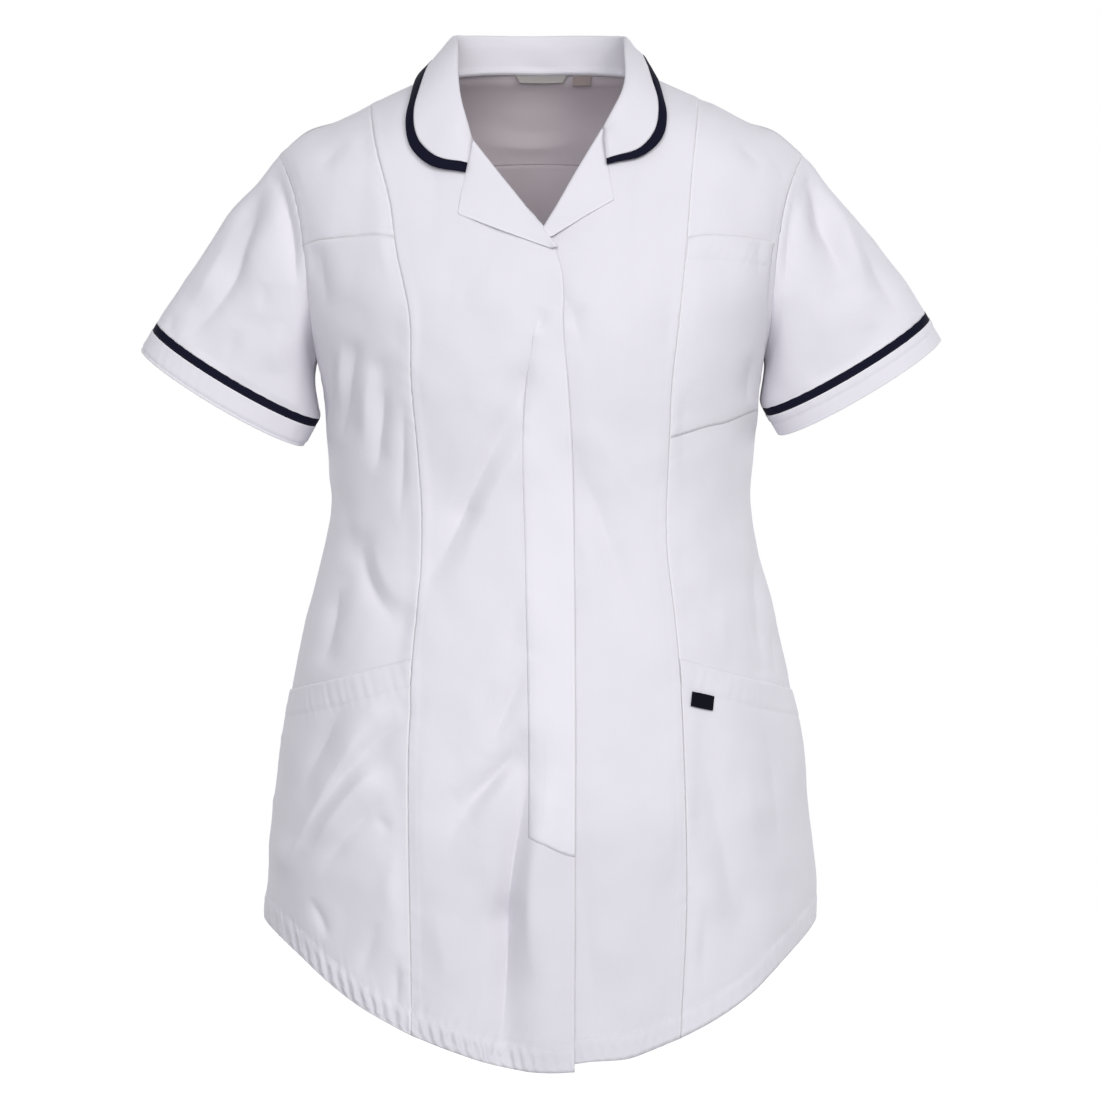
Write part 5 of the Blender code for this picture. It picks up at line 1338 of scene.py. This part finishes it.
class Look:
    """A material that is built up node by node."""

    def __init__(self, name):
        self.material = bpy.data.materials.new(name)
        self.material.use_nodes = True
        self.tree = self.material.node_tree
        self.shader = self.tree.nodes["Principled BSDF"]

    def feed(self, node, inputs):
        """Gives a node's inputs their values or links."""
        for key, value in inputs.items():
            if isinstance(value, Maths):
                value = value.socket
            if isinstance(value, bpy.types.NodeSocket):
                self.tree.links.new(value, node.inputs[key])
            else:
                node.inputs[key].default_value = value

    def node(self, kind, settings=None, inputs=None):
        """A node of a kind, with its settings first and then its inputs."""
        node = self.tree.nodes.new(kind)
        for key, value in (settings or {}).items():
            setattr(node, key, value)
        self.feed(node, inputs or {})
        return node

    def coordinates(self, kind):
        """The piece's own coordinates, or the way along its cloth."""
        return self.node("ShaderNodeTexCoord").outputs[kind]

    def axes(self, vector):
        """A vector's three values."""
        split = self.node("ShaderNodeSeparateXYZ", None, {0: vector})
        return [Maths(self, output) for output in split.outputs]

    def noise(self, vector, scale, detail=2.0, rough=0.5):
        """A cloudy value between 0 and 1."""
        inputs = {"Vector": vector, "Scale": scale, "Detail": detail, "Roughness": rough}
        node = self.node("ShaderNodeTexNoise", {"noise_dimensions": "3D"}, inputs)
        return Maths(self, node.outputs["Fac"])

    def mixed(self, share, first, second):
        """A colour between two, by a share."""
        inputs = {0: share, 6: first, 7: second}
        return self.node("ShaderNodeMix", {"data_type": "RGBA"}, inputs).outputs[2]

    def bump(self, height, distance, strength, normal=None):
        """A normal raised by a height."""
        inputs = {"Height": height, "Distance": distance, "Strength": strength}
        if normal is not None:
            inputs["Normal"] = normal
        return self.node("ShaderNodeBump", None, inputs).outputs["Normal"]

    def finish(self, colour, roughness, normal=None, sheen=0.0, gloss=0.3):
        """Joins the values to the shader; sheen and gloss are the same all over."""
        inputs = {"Base Color": colour, "Roughness": roughness}
        if normal is not None:
            inputs["Normal"] = normal
        inputs.update({"Sheen Weight": sheen, "Sheen Roughness": 0.5, "Specular IOR Level": gloss})
        self.feed(self.shader, inputs)
        return self.material

    def glow(self, colour, strength):
        """Gives the look a light of its own."""
        self.feed(self.shader, {"Emission Color": colour, "Emission Strength": strength})


def shade(colour, factor):
    """A colour made darker or lighter."""
    return tuple(min(c * factor, 1.0) for c in colour[:3]) + (1.0,)


def cloth_look(name, colour, pitch, twill=True, sheen=0.12, tone=0.0, glow=0.0, hem=0.0,
               seams=0.0, head=0.0, gloss=0.3):
    """Woven cloth: twill lines, uneven yarns, soft cloudiness and, on the fronts, a faint
    painted shade low down where no second layer backs the cloth. Edges get a painted highlight.
    A hem has slanting puckers, and a glow stands for the light that comes through the cloth from
    behind."""
    look = Look(name)
    weave = look.coordinates("UV")
    u, v, _ = look.axes(weave)
    turn = 2 * math.pi / pitch
    if twill:
        lines = (u * turn + v * turn).wave() * 0.7 + (v * (turn * 0.5)).wave() * 0.3
    else:
        lines = (u * turn).wave() * (v * turn).wave()
    stretch = {"Vector": weave, "Scale": (1.0, 0.12, 1.0)}
    yarns = look.noise(look.node("ShaderNodeMapping", None, stretch).outputs[0], 2600.0, 1.0)
    place = look.coordinates("Object")
    clouds = look.noise(place, 26.0, 3.0, 0.55)
    grain = look.noise(place, 900.0, 2.0, 0.6)
    share = clouds * 0.45 + yarns * 0.30 + lines * 0.25
    dark = shade(colour, 0.945)
    base = look.mixed(share, dark, shade(colour, 1.03))
    # Painted shade: the fronts are darkened low down, below a wavy line near z = -0.57 m, where no
    # second layer backs the cloth
    if tone:
        x, _, z = look.axes(place)
        low = 1.0 - (z + 0.006 * (x * 60.0).wave()).between(-0.590, -0.555)
        base = look.mixed(low * tone, base, shade(colour, 0.80))
    # Painted highlight: the colour is lifted toward white within about 2.6 mm of every edge,
    # standing for light caught by seams and turned edges; seams sets its strength
    if seams:
        far = look.axes(look.node("ShaderNodeUVMap", {"uv_map": "far edges"}).outputs[0])
        edge = u.math("MINIMUM", v).math("MINIMUM", far[0]).math("MINIMUM", far[1])
        base = look.mixed((1.0 - edge.between(0.0005, 0.0026)) * seams, base, (1.0,) * 4)
        if head:
            base = look.mixed(1.0 - far[1].between(0.015, head), base, dark)
    fibres = look.bump(grain, 0.00012, 0.35)
    threads = look.bump(lines, 0.00005, 0.6, fibres)
    crumple = (look.noise(place, 14.0, 1.0, 0.4) - 0.5).math("ABSOLUTE")
    soft = look.bump(clouds, 0.0016, 0.18, look.bump(crumple, 0.010, 0.22, threads))
    if hem:
        x, _, _ = look.axes(place)
        slant = (x * (2 * math.pi / 0.0088) + v * 120.0 + look.noise(place, 60.0) * 5.0).wave()
        near = v.between(0.000, 0.004) * (1.0 - v.between(0.010, 0.021))
        strength = 1.0 - x.between(-0.03, 0.02) * 0.75
        soft = look.bump(slant * near * strength, hem, 1.0, soft)
    roughness = clouds * 0.10 + 0.80
    if glow:
        look.glow(shade(colour, 0.95), glow)
    return look.finish(base, roughness, soft, sheen, gloss)


def thread_look(name, colour):
    """Sewing thread: fine twisted strands with a soft gloss."""
    look = Look(name)
    x, y, z = look.axes(look.coordinates("Object"))
    twist = ((x + z) * 9000.0 + y * 5000.0).wave()
    base = look.mixed(twist, shade(colour, 0.86), shade(colour, 1.04))
    return look.finish(base, 0.55 + twist * 0.1, look.bump(twist, 0.00006, 0.5), 0.1)


# Looks by name: title, colour as set, its factor and, for cloth, its weave
LOOKS = {
    # The fronts carry painted shade low down and a painted highlight along their edges
    "front cloth": ("white cloth, fronts", "cloth", 1.0,
                    {"pitch": 0.00055, "seams": 0.22, "tone": 0.22, "hem": 0.0011}),
    "double cloth": ("white cloth, doubled", "cloth", 1.05,
                     {"pitch": 0.00055, "seams": 0.15, "head": 0.090}),
    "hem cloth": ("white cloth, hemmed", "cloth", 1.0,
                  {"pitch": 0.00055, "seams": 0.22, "hem": 0.0011}),
    "cloth": ("white cloth", "cloth", 1.0, {"pitch": 0.00055, "seams": 0.22}),
    # Inside faces of the back and the yoke: painted shade, a darker and warmer copy of the white
    # cloth, with a faint glow for light that comes through the cloth
    "inner cloth": ("white cloth, inside", "inside", 1.0, {"pitch": 0.00055, "glow": 0.04}),
    "trim": ("navy trim", "trim", 1.0,
             {"pitch": 0.00050, "twill": False, "sheen": 0.02, "gloss": 0.10}),
    "label": ("cream label", "label", 1.0, {"pitch": 0.00035, "twill": False, "sheen": 0.3}),
    "size label": ("beige label", "size_label", 1.0,
                   {"pitch": 0.00035, "twill": False, "sheen": 0.3}),
    "tab": ("navy tab", "tab", 1.0,
            {"pitch": 0.00035, "twill": False, "sheen": 0.02, "gloss": 0.10}),
    "thread": ("white thread", "thread", 1.0, None),
    "navy thread": ("navy thread", "trim", 1.0, None),
}


@functools.lru_cache(maxsize=None)
def look_of(name):
    """A look by its name, made once."""
    title, colour, factor, weave = LOOKS[name]
    colour = shade(getattr(bpy.context.scene.tunic_colours, colour), factor)
    return cloth_look(title, colour, **weave) if weave else thread_look(title, colour)


COLOUR = {"size": 4, "subtype": "COLOR", "min": 0.0, "max": 1.0}
POWER = {"min": 0.0, "max": 500.0, "unit": "POWER"}


class TunicSizes(bpy.types.PropertyGroup):
    """Sizes of the tunic's cloth and sewing."""
    wall: FloatProperty(name="Cloth", description="Thickness of the cloth", default=0.0006,
                        min=0.0003, max=0.0012, subtype="DISTANCE")
    crease: FloatProperty(name="Creases", description="Strength of the creases", default=1.9,
                          min=0.0, max=3.0, subtype="FACTOR")
    stitch: FloatProperty(name="Stitch", description="Length of a stitch", default=0.0024,
                          min=0.001, max=0.006, subtype="DISTANCE")
    stitch_gap: FloatProperty(name="Stitch gap", description="Space between two stitches",
                              default=0.0005, min=0.0001, max=0.003, subtype="DISTANCE")
    thread: FloatProperty(name="Thread", description="Radius of the sewing thread",
                          default=0.00020, min=0.0001, max=0.0006, subtype="DISTANCE")
    label_wall: FloatProperty(name="Label", description="Thickness of the labels and the tab",
                              default=0.0007, min=0.0003, max=0.002, subtype="DISTANCE")


class TunicColours(bpy.types.PropertyGroup):
    """Colours of the tunic's cloth and thread."""
    cloth: FloatVectorProperty(name="Cloth", description="Colour of the white cloth",
                               default=(0.800, 0.785, 0.835, 1.0), **COLOUR)
    # Painted shade: the inside at the back is given this darker, warmer copy of the white cloth's
    # colour
    inside: FloatVectorProperty(name="Inside", description="Painted-shade colour of the inside at the back",
                                default=(0.56, 0.505, 0.53, 1.0), **COLOUR)
    trim: FloatVectorProperty(name="Trim", description="Colour of the collar and cuff trim",
                              default=(0.0060, 0.0064, 0.0190, 1.0), **COLOUR)
    label: FloatVectorProperty(name="Label", description="Colour of the blank neck label",
                               default=(0.66, 0.64, 0.60, 1.0), **COLOUR)
    size_label: FloatVectorProperty(name="Size label", description="Colour of the size label",
                                    default=(0.52, 0.43, 0.41, 1.0), **COLOUR)
    tab: FloatVectorProperty(name="Tab", description="Colour of the blank pocket tab",
                             default=(0.0035, 0.0038, 0.0085, 1.0), **COLOUR)
    thread: FloatVectorProperty(name="Thread", description="Colour of the sewing thread",
                                default=(0.82, 0.81, 0.86, 1.0), **COLOUR)


class TunicStage(bpy.types.PropertyGroup):
    """The studio round the tunic."""
    key: FloatProperty(name="Main light", description="Power of the main light", default=50.0,
                       **POWER)
    fill: FloatProperty(name="Fill light", description="Power of the fill light", default=59.0,
                        **POWER)
    back: FloatProperty(name="Back lights", description="Power of each light behind",
                        default=34.0, **POWER)
    low: FloatProperty(name="Low light", description="Power of the light near the floor",
                       default=6.0, **POWER)
    sky: FloatProperty(name="Surround", description="Brightness of the room", default=0.42,
                       min=0.0, max=2.0)
    distance: FloatProperty(name="Camera", description="Distance of the camera from the tunic",
                            default=4.0, min=1.0, max=20.0, subtype="DISTANCE")


# Lights: name, power as set, its factor, size, place and colour
LIGHTS = (
    ("main light", "key", 1.0, 1.4, (1.6, -3.2, 1.4), (1.0, 0.985, 0.970)),
    ("fill light", "fill", 1.0, 1.8, (-0.6, -4.0, 0.8), (0.970, 0.970, 1.0)),
    ("back light, left", "back", 1.0, 2.0, (-2.6, 3.0, 0.4), (1.0, 0.99, 0.98)),
    ("back light, right", "back", 1.3, 1.6, (2.8, 2.6, 0.2), (0.97, 0.98, 1.0)),
    ("low light", "low", 1.0, 1.2, (0.4, -2.4, -2.4), (1.0, 0.99, 1.0)),
)
MIDDLE = Vector((0.0, 0.0, -0.36))       # where the lights aim
VIEW_RIGHT = Vector((0.0072, 0.0, 0.0))  # how far to its right the camera looks
VIEW_WIDTH = 0.88        # width that the picture shows at the tunic
FLOOR_Z = -1.30
WHITE = (1.0, 1.0, 1.0, 1.0)


class TUNIC_OT_fronts(bpy.types.Operator):
    """The two centre fronts, the two side fronts and the wearer's right upper front"""
    bl_idname = "tunic.fronts"
    bl_label = "Fronts"

    def execute(self, context):
        for side, word in SIDES:
            shell("front_centre_" + word, centre_cloth(side), "front cloth")
            sew("front_centre_" + word, (centre_cloth(side), "bottom", HEM_BAND))
        shell("front_side_left", side_cloth(1))
        seam = rows_below("chest pocket mouth")
        low = side_cloth(-1).part(slice(0, seam + 1))
        shell("front_side_right", low.raised(0.0002 * step_over(low.ways["top"], ALLOWANCE)))
        high = side_cloth(-1).part(slice(seam, None))
        high = high.raised(0.0004 * step_over(high.ways["bottom"], ALLOWANCE))
        shell("front_yoke_right", high)
        sew("front_yoke_right", (high, "bottom", ALLOWANCE))
        return {"FINISHED"}


class TUNIC_OT_back(bpy.types.Operator):
    """The back and its yoke"""
    bl_idname = "tunic.back"
    bl_label = "Back"

    def execute(self, context):
        for name, cloth, distance in (("back", back_cloth(), HEM_BAND),
                                      ("back_yoke", yoke_cloth(), 0.0020)):
            # Their inside faces take the look with painted shade
            shell(name, cloth, inside="inner cloth")
            sew(name, (cloth, "bottom", distance))
        return {"FINISHED"}


class TUNIC_OT_sleeves(bpy.types.Operator):
    """The sleeves, their navy trims and their turned bands"""
    bl_idname = "tunic.sleeves"
    bl_label = "Sleeves"

    def execute(self, context):
        for side, word in SIDES:
            cloth, share = sleeve_cloth(side)
            shell("sleeve_" + word, cloth, tube=True)
            trim = self.ring(side, share, BAND_WIDTH + TRIM_WIDTH, BAND_WIDTH, TRIM_ROWS)
            bulge = np.sin(math.pi * np.linspace(0, 1, TRIM_ROWS + 1)) ** 0.5
            trim = trim.raised(0.00035 * bulge[:, None])
            shell("cuff_trim_" + word, trim, "trim", tube=True)
            band = self.ring(side, share, BAND_WIDTH, 0.0, BAND_ROWS)
            low, along = band.ways["bottom"], band.ways["first"]
            height = hem_relief(low, along, 0.00022, CUFF_STITCH[side], side)
            height += 0.0004 * ripple(along, 0.064, 2.0 + side)
            height += 0.00022 * ripple(along, 0.010, side) * bell(low, 0.005)
            band = band.raised(height)
            shell("cuff_band_" + word, band, tube=True)
            sew("cuff_band_" + word, (band, "bottom", 0.0012), (band, "bottom", CUFF_STITCH[side]))
            sew("cuff_trim_" + word, (trim, "top", 0.0010), look="navy thread", slot="navy trim")
        return {"FINISHED"}

    def ring(self, side, share, start, end, rows):
        """A tube of cloth round the arm between two distances above the cuff's edge."""
        rings = np.array([cuff_ring(side, share, up) for up in np.linspace(start, end, rows + 1)])
        return Cloth(rings, np.array([ring_out(ring, side) for ring in rings]))


class TUNIC_OT_pockets(bpy.types.Operator):
    """The hip pockets and the chest pocket"""
    bl_idname = "tunic.pockets"
    bl_label = "Pockets"

    def execute(self, context):
        for side, word in SIDES:
            cloth = hip_pocket_cloth(side)
            shell("hip_pocket_" + word, cloth, "hem cloth")
            sew("hip_pocket_" + word, (cloth, "top", MOUTH_BAND), (cloth, "first", POCKET_STITCH),
                (cloth, "bottom", HEM_BAND))
        cloth = chest_pocket_cloth()
        shell("chest_pocket", cloth)
        sew("chest_pocket", (cloth, "top", CHEST_BAND),
            *((cloth, edge, POCKET_STITCH) for edge in ("first", "last", "bottom")))
        return {"FINISHED"}


class TUNIC_OT_placket(bpy.types.Operator):
    """The concealed fastening's strip, with its stitches"""
    bl_idname = "tunic.placket"
    bl_label = "Placket"

    def execute(self, context):
        cloth = placket_cloth()
        shell("placket", cloth, "double cloth")
        foot = cloth.part(slice(FINE_ROWS // 2, FINE_ROWS * 3))
        sew("placket", (cloth, "first", POCKET_STITCH), (cloth, "bottom", POCKET_STITCH),
            (foot, "first", 0.0150))
        return {"FINISHED"}


class TUNIC_OT_collar(bpy.types.Operator):
    """The collar, its navy trim, and the lapels"""
    bl_idname = "tunic.collar"
    bl_label = "Collar"

    def execute(self, context):
        cloth = collar_cloth()
        ways = cloth.ways["last"]
        columns = np.arange(ways.shape[1])
        widths = np.interp(np.linspace(0, 1, len(ways)), *np.array(TRIM_WIDTHS).T)
        split = np.array([np.interp(width, way[::-1], columns[::-1])
                          for width, way in zip(widths, ways)])
        spots = np.linspace(0, split - TRIM_SPLIT, len(columns) - 3, axis=-1)
        white = cloth.taken(spots, axis=1).drawn_in(bottom=-COLLAR_END, top=-COLLAR_END)
        shell("collar", white, wall=COLLAR_WALL)
        spots = np.linspace(split + TRIM_SPLIT, columns[-1], TRIM_ROWS + 1, axis=-1)
        bulge = np.sin(math.pi * np.linspace(0.12, 1, TRIM_ROWS + 1)) ** 0.5
        trim = cloth.taken(spots, axis=1).raised(0.0003 * bulge[None])
        trim = trim.drawn_in(bottom=-COLLAR_END, top=-COLLAR_END)
        shell("collar_trim", trim, "trim", wall=TRIM_WALL)
        sew("collar", (white, "last", 0.0007))
        for side, word in SIDES:
            shell("lapel_" + word, lapel_cloth(side))
        return {"FINISHED"}


class TUNIC_OT_labels(bpy.types.Operator):
    """The blank neck label, the blank size label and the blank tab on the hip pocket"""
    bl_idname = "tunic.labels"
    bl_label = "Labels"

    def execute(self, context):
        wall = sizes().label_wall
        for name, look, slot, start, end, height, slant in LABELS:
            rows = []
            for number, way in enumerate(np.linspace(height, LABEL_TOP, LABEL_ROWS + 1)):
                lean = slant * (1 - number / LABEL_ROWS) / 2
                spots = np.linspace(start + lean, end - lean, LABEL_CELLS + 1) * FINE_CELLS
                rows.append([split_at(line, spots) for line in yoke_cloth().line("top", way)])
            points, out = np.array(rows).swapaxes(0, 1)
            out = unit(out)
            curl = LABEL_AIR * (1 - np.linspace(0, 1, LABEL_ROWS + 1)) ** 1.5 + GAP
            cloth = Cloth(points - out * curl[:, None, None], -out)
            shell(name, cloth, look, wall)
            sew(name, (cloth, "top", 0.0010))
        self.binding()
        self.tab(wall)
        return {"FINISHED"}

    def binding(self):
        """The narrow binding that covers the seam inside the back neck."""
        part = slice(SHOULDER_END, -SHOULDER_END)
        low, low_out = (line[part] for line in yoke_cloth().line("top", 0.0026))
        middle, middle_out = (line[part] for line in yoke_cloth().line("top", 0.0008))
        high, high_out = (line[NECK_CELLS:NECK_CELLS + len(low)]
                          for line in collar_cloth().line("first", 0.0008))
        wall = sizes().wall
        points = np.array([low - low_out * 0.0002, middle - middle_out * 0.0010,
                           (middle - middle_out * 0.0012 + high + high_out * 0.0022) / 2,
                           high + high_out * (0.0014 + wall), high + high_out * wall])
        out = unit(np.array([-low_out, -middle_out, high_out - middle_out, high_out, high_out]))
        make_cloth("neck_binding", Cloth(points, out), "cloth", BINDING_WALL)

    def tab(self, wall):
        """The tab, sewn flat on the pocket at both ends."""
        x, z, length, height, tilt = TAB
        pocket = hip_pocket_cloth(1)
        away = np.sum((pocket.points[..., [0, 2]] - np.array([x, z])) ** 2, axis=-1)
        near = np.unravel_index(np.argmin(away), away.shape)
        point, out = pocket.points[near], pocket.out[near]
        across = facing(unit(np.cross(out, [0.0, 0.0, 1.0])), [1.0, 0.0, 0.0])
        up = facing(unit(np.cross(across, out)), [0.0, 0.0, 1.0])
        angle = math.radians(-tilt)
        lean_across = across * math.cos(angle) + up * math.sin(angle)
        lean_up = up * math.cos(angle) - across * math.sin(angle)
        u = np.linspace(-0.5, 0.5, 25)[None, :, None]
        v = np.linspace(-0.5, 0.5, 15)[:, None, None]
        puff = 0.0005 * np.cos(math.pi * u) * np.cos(math.pi * v) ** 0.5
        points = point + out * (sizes().wall + TAB_AIR + puff)
        points = points + lean_across * length * u + lean_up * height * v
        cloth = Cloth(points, np.broadcast_to(out, points.shape))
        shell("pocket_tab", cloth, "tab", wall)
        sew("pocket_tab", (cloth, "first", 0.0011), (cloth, "last", 0.0011),
            look="navy thread", slot="navy tab")


class TUNIC_OT_sheets(bpy.types.Operator):
    """A step that does nothing; it says nothing about the sheets, their cuts or their sewing."""
    bl_idname = "tunic.sheets"
    bl_label = "Sheets"

    def execute(self, context):
        return {"FINISHED"}


class TUNIC_OT_stage(bpy.types.Operator):
    """The pale floor, the soft studio lights and the camera at the picture's angle"""
    bl_idname = "tunic.stage"
    bl_label = "Studio"

    def execute(self, context):
        stage, scene = context.scene.tunic_stage, context.scene
        self.floor()
        scene.view_settings.view_transform = "Standard"
        self.room(scene, stage.sky)
        for name, power, factor, size, place, colour in LIGHTS:
            lamp = bpy.data.lights.new(name, "AREA")
            lamp.energy = getattr(stage, power) * factor
            lamp.size = size
            lamp.color = colour
            light = bpy.data.objects.new(name, lamp)
            light.location = place
            light.rotation_euler = (MIDDLE - Vector(place)).to_track_quat("-Z", "Y").to_euler()
            self.show(light)
        camera = bpy.data.objects.new("camera", bpy.data.cameras.new("camera"))
        camera.data.sensor_width = 36.0
        camera.data.lens = 36.0 * stage.distance / VIEW_WIDTH
        camera.location = MIDDLE + VIEW_RIGHT - Vector((0.0, stage.distance, 0.0))
        camera.rotation_euler = (math.radians(90), 0.0, 0.0)
        self.show(camera)
        scene.camera = camera
        return {"FINISHED"}

    def show(self, thing):
        """Puts a thing of the studio into the scene."""
        bpy.context.scene.collection.objects.link(thing)

    def room(self, scene, brightness):
        """A pale room round the tunic, which the camera sees as white paper."""
        scene.world = bpy.data.worlds.new("studio")
        scene.world.use_nodes = True
        tree = scene.world.node_tree
        room = tree.nodes["Background"]
        room.inputs["Color"].default_value = (0.96, 0.96, 1.0, 1.0)
        room.inputs["Strength"].default_value = brightness
        paper = tree.nodes.new("ShaderNodeBackground")
        paper.inputs["Color"].default_value = WHITE
        seen = tree.nodes.new("ShaderNodeMixShader")
        rays = tree.nodes.new("ShaderNodeLightPath")
        tree.links.new(rays.outputs["Is Camera Ray"], seen.inputs[0])
        tree.links.new(room.outputs[0], seen.inputs[1])
        tree.links.new(paper.outputs[0], seen.inputs[2])
        tree.links.new(seen.outputs[0], tree.nodes["World Output"].inputs["Surface"])

    def floor(self):
        """A round white floor, well below the hem."""
        bm = bmesh.new()
        bmesh.ops.create_circle(bm, cap_ends=True, segments=96, radius=9.0)
        bmesh.ops.translate(bm, verts=bm.verts[:], vec=(0.0, 0.0, FLOOR_Z))
        mesh = mesh_of("floor", bm)
        look = Look("white floor")
        look.glow(WHITE, 0.70)
        mesh.materials.append(look.finish((0.93, 0.93, 0.93, 1.0), 0.9))
        floor = bpy.data.objects.new("floor", mesh)
        floor.visible_diffuse = False
        self.show(floor)


OPERATORS = (TUNIC_OT_fronts, TUNIC_OT_back, TUNIC_OT_sleeves, TUNIC_OT_pockets, TUNIC_OT_placket,
             TUNIC_OT_collar, TUNIC_OT_labels, TUNIC_OT_sheets, TUNIC_OT_stage)
GROUPS = (("tunic_sizes", TunicSizes), ("tunic_colours", TunicColours), ("tunic_stage", TunicStage))


class TUNIC_PT_panel(bpy.types.Panel):
    """The tunic's pieces and sizes in the sidebar"""
    bl_idname = "TUNIC_PT_panel"
    bl_label = "Maternity tunic"
    bl_space_type = "VIEW_3D"
    bl_region_type = "UI"
    bl_category = "Tunic"

    def draw(self, context):
        for group, _ in GROUPS:
            box = self.layout.box()
            settings = getattr(context.scene, group)
            for name in settings.__annotations__:
                box.prop(settings, name)
        for operator in OPERATORS:
            self.layout.operator(operator.bl_idname)


def register():
    """Registers the classes and the scene's settings."""
    for name, group in GROUPS:
        bpy.utils.register_class(group)
        setattr(bpy.types.Scene, name, PointerProperty(type=group))
    for made in OPERATORS + (TUNIC_PT_panel,):
        bpy.utils.register_class(made)


def unregister():
    """Takes them away again."""
    for made in (TUNIC_PT_panel,) + OPERATORS[::-1]:
        bpy.utils.unregister_class(made)
    for name, group in GROUPS[::-1]:
        delattr(bpy.types.Scene, name)
        bpy.utils.unregister_class(group)


def main():
    """Makes every piece and the studio."""
    register()
    for operator in OPERATORS:
        getattr(bpy.ops.tunic, operator.bl_idname.split(".")[1])()
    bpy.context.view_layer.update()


if __name__ == "__main__":
    main()
